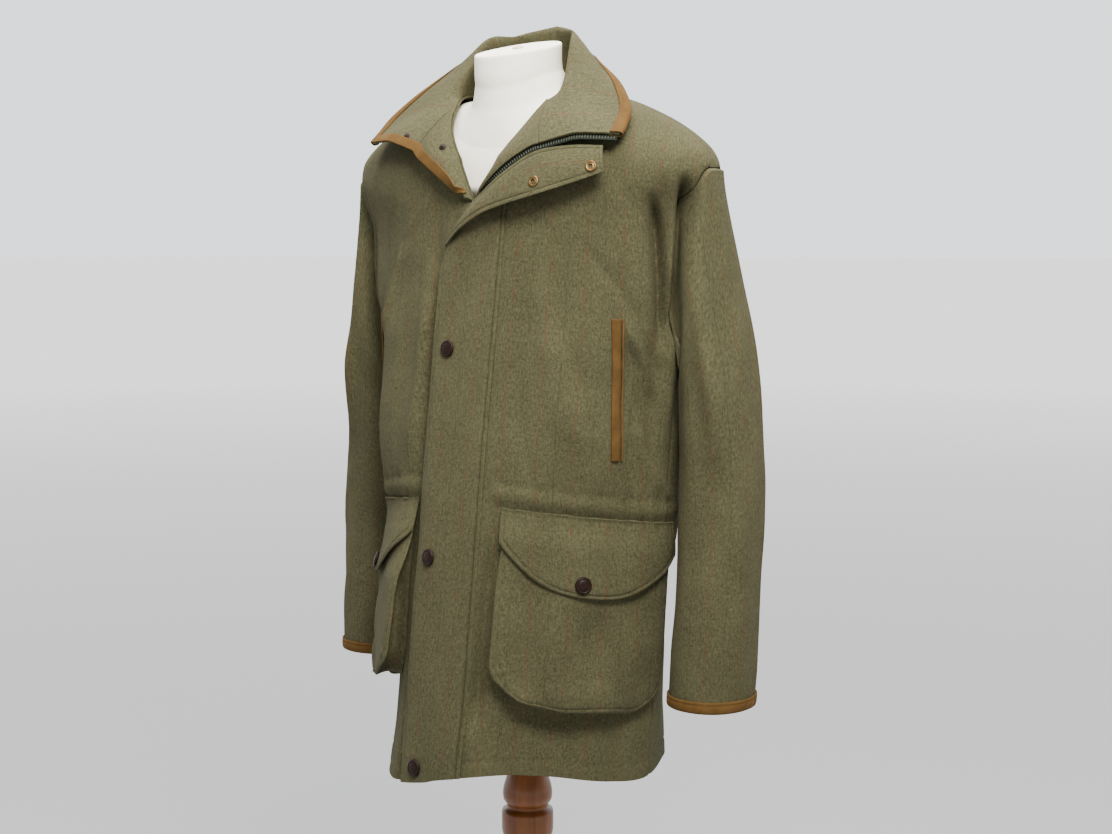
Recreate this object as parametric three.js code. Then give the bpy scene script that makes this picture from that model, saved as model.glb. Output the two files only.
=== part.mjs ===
// A tweed field jacket with bellows pockets, worn open at the neck on a limbless dress form that
// stands on a turned wooden post and a round base. Millimetres, +Z up, the origin on the floor at
// the centre of the base. The jacket faces -Y and the wearer's left is +X.
import * as THREE from 'three';

// A table holds one named value per column on each row.
const table = (columns, rows) => rows.map((row) => Object.fromEntries(columns.map((key, i) => [key, row[i]])));

// Cloth and sewing
const clothThick = 2.4;
const collarThick = 3.0;
const flapThick = 2.8;
const suedeThick = 1.2;
const seamGap = 0.3;
const layerGap = 0.85;
const zipHalf = 4;
const stormHalf = 45;

// The rings that the body cloth hangs through, from the hem to the neck seam. half is the half
// width, front and back the depths, and the three z values the height at the centre front, side and
// centre back. bowFront and bowBack say how full each half bows, 2 being an ellipse, and strip is
// half the flat width that the stiff placket holds down the centre front.
const rings = table(
  ['name', 'half', 'front', 'back', 'zFront', 'zSide', 'zBack', 'bowFront', 'bowBack', 'strip'],
  [
    ['hem', 178, 188, 122, 715, 712, 712, 1.5, 2.1, 38],
    ['thigh', 181, 180, 121, 798, 795, 797, 1.22, 2.1, 38],
    ['hip', 187, 168, 118, 895, 895, 895, 1.2, 2.1, 38],
    ['waist', 196, 153, 110, 1005, 1000, 1005, 1.28, 2.15, 38],
    ['ribs', 202, 138, 113, 1105, 1100, 1105, 1.66, 2.2, 38],
    ['underarm', 213, 124, 119, 1205, 1195, 1205, 1.55, 2.3, 38],
    ['chest', 236, 112, 121, 1286, 1285, 1298, 1.5, 2.4, 36],
    ['shoulder blade', 245, 104, 116, 1345, 1368, 1384, 1.52, 2.4, 32],
    ['shoulder edge', 262, 99, 105, 1388, 1424, 1440, 1.75, 2.3, 22],
    ['outer shoulder', 232, 97, 99, 1410, 1463, 1474, 2.0, 2.25, 10],
    ['mid shoulder', 160, 93, 88, 1438, 1500, 1510, 2.15, 2.2, 0],
    ['neck seam', 80, 84, 72, 1468, 1522, 1540, 2.2, 2.1, 0],
  ],
);
const underarmRow = 5;
const shoulderRow = 8;
const neckRow = 11;
const sideSeam = 93;
const hemRows = 11;
const armholeRows = 9;
const yokeRows = 6;

// Where the opened fronts roll outwards, as the sideways place of the roll on each row.
const rollLine = table(
  ['row', 'x'],
  [
    [8.0, 4],
    [9.0, 14],
    [10.0, 29],
    [10.4, 41],
    [10.7, 53],
    [11.0, 67],
  ],
);

// How far the armhole cuts into the front and the back panels, in degrees round the ring.
const armholeFront = 16;
const armholeBack = 26;
const armholeBow = 2.3;

// Soft folds on the body. Each runs from one place to another, given by the distance round the
// cloth from the centre front and the height, with a half width and a depth, ridges positive. side
// is 1 for the wearer's left, -1 for the right and 0 for both.
const folds = table(
  ['name', 'side', 'arcA', 'zA', 'arcB', 'zB', 'halfWide', 'depth'],
  [
    ['armhole groove upper', 0, 236, 1400, 250, 1280, 13, -6],
    ['armhole groove lower', 0, 226, 1370, 246, 1110, 16, -8],
    ['armhole ridge', 0, 244, 1330, 262, 1130, 15, 6],
    ['left chest sweep', 1, 110, 1225, 160, 1110, 30, 4],
    ['left side sweep', 1, 200, 1180, 230, 1060, 24, -5],
    ['right placket trough', -1, 66, 1190, 64, 960, 24, -7],
    ['right chest ridge', -1, 150, 1260, 165, 1010, 46, 11],
    ['left hem wave', 1, 185, 820, 195, 715, 40, 7],
    ['left hem dip', 1, 105, 800, 110, 715, 34, -6],
    ['right hem wave', -1, 190, 840, 200, 715, 36, 6],
    ['side back trough', 0, 318, 1150, 312, 900, 24, -6],
    ['action pleat', 0, 385, 1410, 385, 1140, 15, -8],
    ['back drape left', 1, 388, 1120, 372, 720, 34, 8],
    ['back trough left', 1, 440, 1060, 432, 716, 32, -8],
    ['back drape right', -1, 380, 1100, 366, 720, 36, 9],
    ['back trough right', -1, 425, 1090, 420, 716, 30, -8],
  ],
);
// The waist drawcord casing, puckered out of the cloth all round.
const casing = { zFront: 1056, zSide: 1026, zBack: 1040, halfWide: 11, depth: 3.2 };
// How far the hem rises or dips at each angle, left and right of the centre front.
const hemWave = table(
  ['angle', 'left', 'right'],
  [
    [0, 0, 0],
    [38, 16, -14],
    [80, -6, -4],
    [120, 4, 6],
    [180, 0, 0],
  ],
);
const hemWaveFades = 120;

// Sleeve stations from the armhole to the cuff, for the left sleeve. Each is a ring through an
// outer and an inner point, with its middle and half depth from front to back.
const sleeveStations = table(
  ['name', 'xOuter', 'zOuter', 'xInner', 'zInner', 'yMid', 'yHalf', 'square'],
  [
    ['head', 264, 1405, 213.5, 1184, 15, 51, 2.0],
    ['cap', 266, 1366, 213.5, 1170, 24, 53, 2.0],
    ['upper arm', 276, 1296, 213, 1146, 33, 55, 2.0],
    ['biceps', 291, 1210, 212, 1110, 39, 57, 2.1],
    ['above elbow', 302, 1110, 211, 1065, 41, 57, 2.1],
    ['elbow', 306, 1030, 211, 1005, 37, 56, 2.1],
    ['forearm', 306, 950, 211, 938, 29, 55, 2.1],
    ['wrist', 306, 868, 209, 865, 21, 54, 2.1],
    ['cuff', 304, 806, 208, 806, 17, 52, 2.1],
  ],
);
const sleeveSteps = 15;
// The sleeve head leaves the armhole outwards and downwards, and takes its own form over headBlend.
const headOut = 4;
const headDrop = 3;
const headSpread = 3;
const headFall = 22;
const headBlend = 2.4;
// Creases on the sleeves: the turn round the sleeve (0 outer, 90 front, 180 inner, 270 back).
const sleeveFolds = table(
  ['name', 'turnA', 'alongA', 'turnB', 'alongB', 'halfWide', 'depth'],
  [
    ['front crease', 74, 0.0, 80, 0.36, 17, -6],
    ['front ridge', 44, 0.0, 50, 0.4, 18, 4],
    ['elbow ridge', 22, 0.4, 48, 0.8, 20, 4],
    ['elbow trough', 70, 0.42, 92, 0.7, 18, -4],
    ['back crease', 300, 0.2, 316, 0.75, 20, -5],
  ],
);
const cuffBandHigh = 11;

// The collar, turned down, for the wearer's left. Each station has its start on the neck seam, the
// top of its roll and its outer edge. The first two stations start on the opened front instead.
const collarStations = table(
  ['name', 'angle', 'rollX', 'rollY', 'rollZ', 'edgeX', 'edgeY', 'edgeZ', 'bulge', 'liftRight'],
  [
    ['zip end', 0, 138, -92, 1462, 186, -73, 1460, 0.1, 3],
    ['seam turn', 0, 128, -76, 1481, 184, -60, 1471, 0.12, 4],
    ['roll start', 57, 96, -50, 1508, 176, -40, 1492, 0.06, 6],
    ['front side', 76, 77, -20, 1549, 146, -14, 1521, 0.05, 10],
    ['side', 98, 64, 5, 1585, 101, 12, 1547, 0.1, 14],
    ['back side', 122, 47, 32, 1592, 69, 46, 1556, 0.16, 8],
    ['back', 150, 26, 53, 1600, 37, 71, 1570, 0.18, 4],
    ['centre back', 180, 0, 62, 1606, 0, 84, 1580, 0.18, 0],
  ],
);
const collarSteps = 15;
const collarRows = 9;
const collarSeam = 1;
const edgingWide = 11;

// The zip edge of each opened front, from the foot of the opening to the neck seam.
const zipEdge = table(
  ['row', 'x', 'y', 'zLeft', 'zRight'],
  [
    [8.0, 7, -110, 1392, 1392],
    [9.0, 29, -111, 1413, 1408],
    [10.0, 52, -109, 1431, 1423],
    [10.4, 70, -106, 1442, 1434],
    [10.7, 83, -103, 1449, 1442],
    [11.0, 92, -100, 1452, 1450],
  ],
);

// The top of the storm flap, turned out under the left front: its inner edge and its free edge.
const turnedFlap = table(
  ['name', 'innerX', 'innerY', 'innerZ', 'freeX', 'freeY', 'freeZ'],
  [
    ['turn starts', -35, -106.5, 1347, -39, -108.7, 1335],
    ['foot of zip', -12, -112.6, 1371, -12, -117, 1354],
    ['lower stud', 19, -114, 1397, 23, -121, 1372],
    ['between studs', 51, -114, 1420, 60, -122, 1383],
    ['neck seam', 90, -107, 1442, 104, -118, 1394],
    ['upper stud', 134, -98, 1448, 144, -106, 1406],
    ['top end', 170, -86, 1447, 178, -92, 1418],
  ],
);

// Bellows pockets, on the surface of each front: distances along the cloth from the centre front.
const pocket = {
  frontEdge: 72, rearEdge: 275, topFront: 1004, topRear: 984, low: 806,
  cornerRound: 44, gusset: 21, puff: 5, underCut: 7, rearFlat: 0.42,
};
const pocketFlap = {
  frontEdge: 69, rearEdge: 279, topFront: 1036, topRear: 1012,
  drop: 96, roundOff: 0.58, stand: 22, riseIn: 30,
};
const welt = { low: 1089, high: 1252, arcLow: 193, arcHigh: 181, wide: 10, slit: 1.5, narrow: 3 };

// Press fasteners: caps on the storm flap and on the pocket flaps, sockets inside the turned flap.
const cap = { radius: 10, high: 4.6 };
const capHeights = [1213, 970, 729];
const capInset = 22;
const socket = { radius: 6.5, high: 2.2, hole: 2.6 };

// The dress form: ellipses from the hip up to the neck cap.
const formRings = table(
  ['z', 'half', 'front', 'back'],
  [
    [800, 122, 88, 84],
    [850, 150, 104, 96],
    [930, 160, 110, 100],
    [1020, 148, 104, 90],
    [1110, 154, 106, 92],
    [1210, 174, 104, 100],
    [1300, 188, 90, 103],
    [1370, 192, 78, 96],
  ],
);
const formNeck = { half: 52, deep: 54, lean: 17, zFront: 1560, zBack: 1586 };
const shoulderClear = 0.6;
const post = table(
  ['radius', 'z'],
  [
    [16, 800],
    [16, 702],
    [21, 690],
    [29, 664],
    [30, 654],
    [26, 642],
    [26, 638],
    [32, 635],
    [32, 606],
    [27, 594],
    [23, 500],
    [25, 130],
    [34, 70],
    [42, 32.3],
  ],
);
const base = { radius: 185, thick: 32, edge: 8 };
const neckPlug = { radius: 7, high: 3 };

const clothColour = { color: 0x77704d, roughness: 0.95, metalness: 0 };
const suedeColour = { color: 0xa5692a, roughness: 0.9, metalness: 0 };
const capColour = { color: 0x2a1a18, roughness: 0.35, metalness: 0 };
const brassColour = { color: 0xa98a4b, roughness: 0.35, metalness: 1 };
const zipColour = { color: 0x1d2a22, roughness: 0.6, metalness: 0 };
const calicoColour = { color: 0xe9e4d6, roughness: 0.9, metalness: 0 };
const woodColour = { color: 0xb4783f, roughness: 0.45, metalness: 0 };

const jacket = new THREE.Group();

// Arithmetic
const vec = (x, y, z) => new THREE.Vector3(x, y, z);
const mix = (a, b, t) => a + (b - a) * t;
const clamp = (t) => Math.min(1, Math.max(0, t));
const ease = (t) => { const s = clamp(t); return s * s * (3 - 2 * s); };
const bump = (t) => Math.exp(-t * t * 1.6);

function curveThrough(rows, key, place) {
  const last = rows.length - 1;
  const i = Math.min(last - 1, Math.max(0, Math.floor(place)));
  const t = place - i;
  const p1 = rows[i][key];
  const p2 = rows[i + 1][key];
  const p0 = i > 0 ? rows[i - 1][key] : 2 * p1 - p2;
  const p3 = i < last - 1 ? rows[i + 2][key] : 2 * p2 - p1;
  const a = 2 * p1 - 2 * p2 + (p2 - p0) / 2 + (p3 - p1) / 2;
  const b = -3 * p1 + 3 * p2 - (p2 - p0) - (p3 - p1) / 2;
  return ((a * t + b) * t + (p2 - p0) / 2) * t + p1;
}

// The value of a column at a place named by another column, such as an angle or a row.
function lookUp(rows, by, key, value) {
  const last = rows.length - 1;
  let i = 0;
  while (i < last - 1 && rows[i + 1][by] < value) i += 1;
  const t = (value - rows[i][by]) / (rows[i + 1][by] - rows[i][by]);
  return curveThrough(rows, key, i + clamp(t));
}

// The body surface
const ringKeys = ['half', 'front', 'back', 'zFront', 'zSide', 'zBack', 'bowFront', 'bowBack', 'strip'];
function ringAt(row) {
  const ring = {};
  for (const key of ringKeys) ring[key] = curveThrough(rings, key, row);
  return ring;
}

// The depth of the front at a sideways place: flat over the strip, with a soft turn at its edge.
const stripTurn = 14;
function frontDepth(ring, x) {
  const strip = Math.max(0, ring.strip);
  const past = (side) => (side - strip + Math.hypot(side - strip, stripTurn * strip / 38)) / 2;
  const share = Math.min(1, past(Math.abs(x)) / past(ring.half));
  return ring.front * (1 - share ** ring.bowFront) ** (1 / ring.bowFront);
}

function plainBody(row, degrees) {
  const ring = ringAt(row);
  const turn = THREE.MathUtils.degToRad(degrees);
  const s = Math.sin(turn);
  const c = Math.cos(turn);
  const isFront = c >= 0;
  const power = 2 / (isFront ? ring.bowFront : ring.bowBack);
  const x = ring.half * Math.sign(s) * Math.abs(s) ** power;
  const y = isFront ? -frontDepth(ring, x) : ring.back * Math.abs(c) ** power;
  const rise = (isFront ? ring.zFront : ring.zBack) - ring.zSide;
  let z = ring.zSide + rise * c * c;
  const around = Math.abs(degrees > 180 ? degrees - 360 : degrees);
  const wave = lookUp(hemWave, 'angle', degrees >= 0 && degrees <= 180 ? 'left' : 'right', around);
  z += wave * (1 - ease((z - rings[0].zSide) / hemWaveFades));
  return vec(x, y, z);
}

function across(surface, row, degrees) {
  const small = 0.02;
  const wide = 0.4;
  const up = surface(Math.min(neckRow, row + small), degrees).sub(surface(Math.max(0, row - small), degrees));
  const round = surface(row, degrees + wide).sub(surface(row, degrees - wide));
  return round.cross(up).normalize();
}

// The distance round the cloth from the centre front to an angle, from a table for each row.
const arcTables = new Map();
function arcAt(row, degrees) {
  const key = row.toFixed(4);
  if (!arcTables.has(key)) {
    const lengths = [0];
    let before = plainBody(row, 0);
    for (let i = 1; i <= 96; i += 1) {
      const here = plainBody(row, 2 * i);
      lengths.push(lengths[i - 1] + here.distanceTo(before));
      before = here;
    }
    arcTables.set(key, lengths);
  }
  const lengths = arcTables.get(key);
  const place = Math.min(95.999, Math.abs(degrees) / 2);
  return mix(lengths[Math.floor(place)], lengths[Math.floor(place) + 1], place % 1);
}

// A fold fades at its ends, and its width is measured along the cloth.
function foldRelief(fold, side, arc, z) {
  if (fold.side !== 0 && side !== fold.side) return 0;
  const along = (fold.zA - z) / (fold.zA - fold.zB);
  if (along < -0.25 || along > 1.25) return 0;
  const off = (arc - mix(fold.arcA, fold.arcB, along)) / fold.halfWide;
  const openEnd = fold.zB < rings[0].zFront + 10 ? 1 : ease((1.2 - along) / 0.35);
  return fold.depth * bump(off) * ease((along + 0.2) / 0.35) * openEnd;
}

function relief(row, degrees) {
  const z = plainBody(row, degrees).z;
  const angle = degrees > 180 ? degrees - 360 : degrees;
  const arc = arcAt(row, angle);
  let out = 0;
  for (const fold of folds) out += foldRelief(fold, Math.sign(angle), arc, z);
  const c = Math.cos(THREE.MathUtils.degToRad(degrees));
  const level = casing.zSide + ((c >= 0 ? casing.zFront : casing.zBack) - casing.zSide) * c * c;
  const clearOfStorm = ease((arc - stormHalf - 6) / 16);
  return out + casing.depth * bump((z - level) / casing.halfWide) * clearOfStorm;
}

function bodyPoint(row, degrees) {
  return plainBody(row, degrees).addScaledVector(across(plainBody, row, degrees), relief(row, degrees));
}

const bodyNormal = (row, degrees) => across(bodyPoint, row, degrees);

function bodyMoved(row, degrees, out) {
  return bodyPoint(row, degrees).addScaledVector(bodyNormal(row, degrees), out);
}

// The angle at which a row passes a sideways place near the front.
function angleAtX(row, x) {
  const ring = ringAt(row);
  const share = Math.min(1, Math.abs(x) / ring.half) ** (ring.bowFront / 2);
  return Math.sign(x) * THREE.MathUtils.radToDeg(Math.asin(share));
}

// Angles along a row, spaced by distance along the cloth. marks are distances from its start that
// have a column of their own, and the rest are spaced more closely towards the end.
function spacedAngles(row, from, to, marks, count, crowd) {
  const fine = 160;
  const lengths = [0];
  let before = plainBody(row, from);
  for (let i = 1; i <= fine; i += 1) {
    const here = plainBody(row, mix(from, to, i / fine));
    lengths.push(lengths[i - 1] + here.distanceTo(before));
    before = here;
  }
  const total = lengths[fine];
  const first = marks.length ? marks[marks.length - 1] : 0;
  const squeeze = Math.min(1, total / (first + 60));
  const wanted = marks.map((mark) => mark * squeeze);
  const start = wanted.length ? wanted[wanted.length - 1] : 0;
  if (!wanted.length) wanted.push(0);
  for (let i = 1; i <= count; i += 1) {
    const t = i / count;
    wanted.push(mix(start, total, t + crowd * t * (1 - t)));
  }
  return wanted.map((length) => {
    let i = 1;
    while (i < fine && lengths[i] < length) i += 1;
    const t = clamp((length - lengths[i - 1]) / (lengths[i] - lengths[i - 1]));
    return mix(from, to, (i - 1 + t) / fine);
  });
}

const rowList = [];
for (let i = 0; i < hemRows; i += 1) rowList.push(underarmRow * i / hemRows);
for (let i = 0; i < armholeRows; i += 1) {
  const share = (1 - Math.cos(Math.PI * i / armholeRows)) / 2;
  rowList.push(mix(underarmRow, shoulderRow, share));
}
for (let i = 0; i <= yokeRows; i += 1) rowList.push(mix(shoulderRow, neckRow, i / yokeRows));

// How much of the armhole is open on a row, from 0 at the underarm and the shoulder to 1.
function armholeShare(row) {
  if (row <= underarmRow || row >= shoulderRow) return 0;
  const middle = (underarmRow + shoulderRow) / 2;
  return (1 - Math.abs((row - middle) / (shoulderRow - middle)) ** armholeBow) ** (1 / armholeBow);
}
const frontEnd = (row) => sideSeam - armholeFront * armholeShare(row);
const backEnd = (row) => sideSeam + armholeBack * armholeShare(row);

// A closed wall from a grid of outer points and a grid of inner points. closed joins the last
// column to the first, as on a sleeve.
function wall(outer, inner, closed) {
  const rows = outer.length;
  const cols = outer[0].length;
  const points = [];
  for (const p of [outer, inner].flat(2)) points.push(p.x, p.y, p.z);
  const at = (skin, i, j) => skin * rows * cols + i * cols + (j % cols);
  const faces = [];
  const quad = (a, b, c, d) => faces.push(a, b, c, a, c, d);
  const spans = closed ? cols : cols - 1;
  for (let i = 0; i < rows - 1; i += 1) {
    for (let j = 0; j < spans; j += 1) {
      const corner = (di, dj) => outer[i + di][(j + dj) % cols];
      const turned = corner(1, 0).distanceTo(corner(0, 1)) < corner(0, 0).distanceTo(corner(1, 1)) - 0.01;
      for (const skin of [0, 1]) {
        const ring = [at(skin, i, j), at(skin, i, j + 1), at(skin, i + 1, j + 1), at(skin, i + 1, j)];
        if (turned) ring.push(ring.shift());
        const [p, q, r, t] = ring;
        if (skin) quad(p, t, r, q);
        else quad(p, q, r, t);
      }
    }
  }
  for (let j = 0; j < spans; j += 1) {
    quad(at(0, 0, j), at(1, 0, j), at(1, 0, j + 1), at(0, 0, j + 1));
    quad(at(0, rows - 1, j), at(0, rows - 1, j + 1), at(1, rows - 1, j + 1), at(1, rows - 1, j));
  }
  if (!closed) {
    for (let i = 0; i < rows - 1; i += 1) {
      quad(at(0, i, 0), at(0, i + 1, 0), at(1, i + 1, 0), at(1, i, 0));
      quad(at(0, i, cols - 1), at(1, i, cols - 1), at(1, i + 1, cols - 1), at(0, i + 1, cols - 1));
    }
  }
  const geometry = new THREE.BufferGeometry();
  geometry.setAttribute('position', new THREE.Float32BufferAttribute(points, 3));
  geometry.setIndex(faces);
  return outward(geometry);
}

// Turns a closed geometry's faces to point out.
function outward(geometry) {
  const p = geometry.attributes.position;
  const index = geometry.index.array;
  let volume = 0;
  const [a, b, c] = [vec(), vec(), vec()];
  for (let i = 0; i < index.length; i += 3) {
    a.fromBufferAttribute(p, index[i]);
    b.fromBufferAttribute(p, index[i + 1]);
    c.fromBufferAttribute(p, index[i + 2]);
    volume += a.dot(b.cross(c));
  }
  if (volume < 0) {
    const flipped = Array.from(index);
    for (let i = 0; i < flipped.length; i += 3) [flipped[i], flipped[i + 1]] = [flipped[i + 1], flipped[i]];
    geometry.setIndex(flipped);
  }
  geometry.computeVertexNormals();
  return geometry;
}

// The wall on a grid of points, grown by its own normals. low and high are the distances out from
// the points to the wall's two faces.
function wallOnGrid(points, low, high, closed) {
  const rows = points.length;
  const cols = points[0].length;
  const wrap = (j) => (closed ? (j + cols) % cols : Math.min(cols - 1, Math.max(0, j)));
  const faces = [high, low].map((out) => points.map((line, i) => line.map((p, j) => {
    const up = points[Math.min(rows - 1, i + 1)][j].clone().sub(points[Math.max(0, i - 1)][j]);
    const round = points[i][wrap(j + 1)].clone().sub(points[i][wrap(j - 1)]);
    return p.clone().addScaledVector(round.cross(up).normalize(), out);
  })));
  return wall(faces[0], faces[1], closed);
}

function add(name, geometry, look) {
  const mesh = new THREE.Mesh(geometry, new THREE.MeshStandardMaterial(look));
  mesh.name = name;
  jacket.add(mesh);
  return mesh;
}

// A panel of the body between two angles on every row, as a cloth wall.
function bodyPanel(name, angleRows) {
  const outer = rowList.map((row, i) => angleRows[i].map((angle) => bodyPoint(row, angle)));
  const inner = rowList.map((row, i) => angleRows[i].map((angle) => bodyMoved(row, angle, -clothThick)));
  add(name, wall(outer, inner, false), clothColour);
  return outer;
}

const clothPerDegree = 3.3;
const seamAngle = seamGap / 2 / clothPerDegree;
const frontMarks = [0, (stormHalf - zipHalf) / 2, stormHalf - zipHalf];
const frontColumns = 17;

function frontAngles(side) {
  return rowList.map((row) => {
    const x = row <= shoulderRow ? zipHalf : lookUp(rollLine, 'row', 'x', row);
    const from = angleAtX(row, x);
    const to = frontEnd(row) - seamAngle;
    return spacedAngles(row, from, to, frontMarks, frontColumns, 0.35).map((angle) => angle * side);
  });
}

const leftAngles = frontAngles(1);
const rightAngles = frontAngles(-1);
const leftFront = bodyPanel('front_left', leftAngles);
const rightFront = bodyPanel('front_right', rightAngles);

const backHalfColumns = 9;
const backAngles = rowList.map((row) => {
  const half = spacedAngles(row, 180, backEnd(row) + seamAngle, [], backHalfColumns, 0.3);
  return [...half.slice(1).reverse(), ...half.map((angle) => 360 - angle)];
});
bodyPanel('back', backAngles);

// Sleeves. The first ring follows the armhole's edge, a seam's gap away from it.
function armholeLoop(side) {
  const first = hemRows;
  const last = hemRows + armholeRows;
  const loop = [];
  for (let i = last; i >= first; i -= 1) loop.push([rowList[i], frontEnd(rowList[i])]);
  for (let i = first + 1; i < last; i += 1) loop.push([rowList[i], backEnd(rowList[i])]);
  const points = loop.map(([row, angle]) => bodyPoint(row, angle * side));
  const normals = loop.map(([row, angle]) => bodyNormal(row, angle * side));
  const count = loop.length;
  const middle = points.reduce((sum, p) => sum.add(p), vec(0, 0, 0)).divideScalar(count);
  return points.map((p, i) => {
    const along = points[(i + 1) % count].clone().sub(points[(i + count - 1) % count]);
    const inwards = normals[i].clone().cross(along).normalize();
    if (inwards.dot(middle.clone().sub(p)) < 0) inwards.negate();
    return {
      outer: p.clone().addScaledVector(inwards, seamGap * 2),
      inner: p.clone().addScaledVector(inwards, seamGap * 2).addScaledVector(normals[i], -clothThick),
    };
  });
}

const sleeveKeys = ['xOuter', 'zOuter', 'xInner', 'zInner', 'yMid', 'yHalf', 'square'];
function sleeveRelief(turn, along, round) {
  let out = 0;
  for (const fold of sleeveFolds) {
    const share = (along - fold.alongA) / (fold.alongB - fold.alongA);
    if (share < -0.3 || share > 1.3) continue;
    const off = (turn - mix(fold.turnA, fold.turnB, share)) * round / fold.halfWide;
    out += fold.depth * bump(off) * ease((share + 0.3) / 0.4) * ease((1.3 - share) / 0.4);
  }
  return out;
}

// A point of the plain sleeve: place runs from 0 at the head to the last station at the cuff.
function sleevePoint(place, turn, side) {
  const s = {};
  for (const key of sleeveKeys) s[key] = curveThrough(sleeveStations, key, place);
  const angle = THREE.MathUtils.degToRad(turn);
  const power = 2 / s.square;
  const c = Math.sign(Math.cos(angle)) * Math.abs(Math.cos(angle)) ** power;
  const f = Math.sign(Math.sin(angle)) * Math.abs(Math.sin(angle)) ** power;
  const perDegree = (s.yHalf + (s.xOuter - s.xInner) / 2) / 2 * Math.PI / 180;
  const out = 1 + sleeveRelief(turn, place / (sleeveStations.length - 1), perDegree) / s.yHalf;
  const x = mix(s.xInner, s.xOuter, 0.5 + 0.5 * c * out);
  const z = mix(s.zInner, s.zOuter, 0.5 + 0.5 * c);
  return vec(x * side, s.yMid - s.yHalf * f * out, z);
}

function sleeve(name, side) {
  const loop = armholeLoop(side);
  const count = loop.length;
  const half = count / 2;
  const grid = [];
  const last = sleeveStations.length - 1;
  for (let i = 0; i < sleeveSteps; i += 1) {
    const place = last * i / (sleeveSteps - 1);
    const share = ease(place / headBlend + 0.04);
    const shift = vec(side * (headOut + place * headSpread), 0, -headDrop - place * headFall);
    grid.push(loop.map((p, j) => {
      const free = sleevePoint(place, 180 * j / half, side);
      return p.outer.clone().add(shift).lerp(free, share);
    }));
  }
  const points = [loop.map((p) => p.outer), ...grid];
  const wrap = (j) => (j + count) % count;
  const inner = points.map((line, i) => line.map((p, j) => {
    if (i === 0) return loop[j].inner.clone();
    const up = points[Math.min(points.length - 1, i + 1)][j].clone().sub(points[i - 1][j]);
    const round = line[wrap(j + 1)].clone().sub(line[wrap(j - 1)]);
    const out = round.cross(up).normalize();
    return p.clone().addScaledVector(out, -side * clothThick);
  }));
  add(name, wall(points, inner, true), clothColour);
  return grid;
}

const leftSleeve = sleeve('sleeve_left', 1);
const rightSleeve = sleeve('sleeve_right', -1);

// The suede binding at a cuff: a channel that wraps the sleeve's end, outside and inside.
function cuffBinding(name, grid) {
  const end = grid[grid.length - 1];
  const above = grid[grid.length - 2];
  const count = end.length;
  const middle = end.reduce((sum, p) => sum.add(p), vec(0, 0, 0)).divideScalar(count);
  const section = (out, up) => end.map((p, j) => {
    const rim = p.clone().sub(middle).setZ(0).normalize();
    const rise = above[j].clone().sub(p).normalize();
    return p.clone().addScaledVector(rise, up).addScaledVector(rim, out);
  });
  const gap = 0.5;
  const outside = [section(gap + suedeThick, cuffBandHigh), section(gap + suedeThick, -gap - suedeThick)];
  const inside = [section(gap, cuffBandHigh), section(gap, -gap)];
  const under = -clothThick - gap;
  outside.push(section(under - suedeThick, -gap - suedeThick), section(under - suedeThick, cuffBandHigh));
  inside.push(section(under, -gap), section(under, cuffBandHigh));
  add(name, wall(outside, inside, true), suedeColour);
}
cuffBinding('cuff_binding_left', leftSleeve);
cuffBinding('cuff_binding_right', rightSleeve);

// The storm flap lies on both fronts from the hem to the foot of the opening.
const stormRows = rowList.slice(0, hemRows + armholeRows);
const stormSeat = layerGap + 0.15;
// Above the turn the free side is drawn in, because the cloth there is folded out.
const stormTurn = 1338;
const stormTurnOver = 60;
const stormTurnEdge = 2;
function stormAngles(row, index) {
  const left = leftAngles[index];
  const right = rightAngles[index];
  return [right[2], right[1], right[0], left[0], left[1], left[2]];
}
const stormLine = (out) => (row, i) => stormAngles(row, i).map((angle) => bodyMoved(row, angle, out));
const stormOuter = stormRows.map(stormLine(stormSeat + flapThick));
const stormInner = stormRows.map(stormLine(stormSeat));
for (const line of [...stormOuter, ...stormInner]) {
  const free = line[0].x;
  const seam = line[line.length - 1].x;
  const drawn = clamp((line[0].z - stormTurn) / stormTurnOver + 0.5) / 2;
  for (const p of line) {
    const share = (seam - p.x) / (seam - free);
    p.setX(mix(p.x, mix(seam, p === line[0] ? -stormTurnEdge : stormTurnEdge, share), drawn));
  }
}
add('storm_flap', wall(stormOuter, stormInner, false), clothColour);

// Its top, turned out under the left front.
const turnedKeys = ['innerX', 'innerY', 'innerZ', 'freeX', 'freeY', 'freeZ'];
const turnedSteps = 12;
const turnedGrid = [];
for (let i = 0; i <= turnedSteps; i += 1) {
  const s = {};
  const place = (turnedFlap.length - 1) * i / turnedSteps;
  for (const key of turnedKeys) s[key] = curveThrough(turnedFlap, key, place);
  const from = vec(s.innerX, s.innerY, s.innerZ);
  const to = vec(s.freeX, s.freeY, s.freeZ);
  turnedGrid.push([0, 1 / 3, 2 / 3, 1].map((t) => from.clone().lerp(to, t)));
}
add('storm_flap_top', wallOnGrid(turnedGrid, -flapThick / 2, flapThick / 2, false), clothColour);

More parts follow.
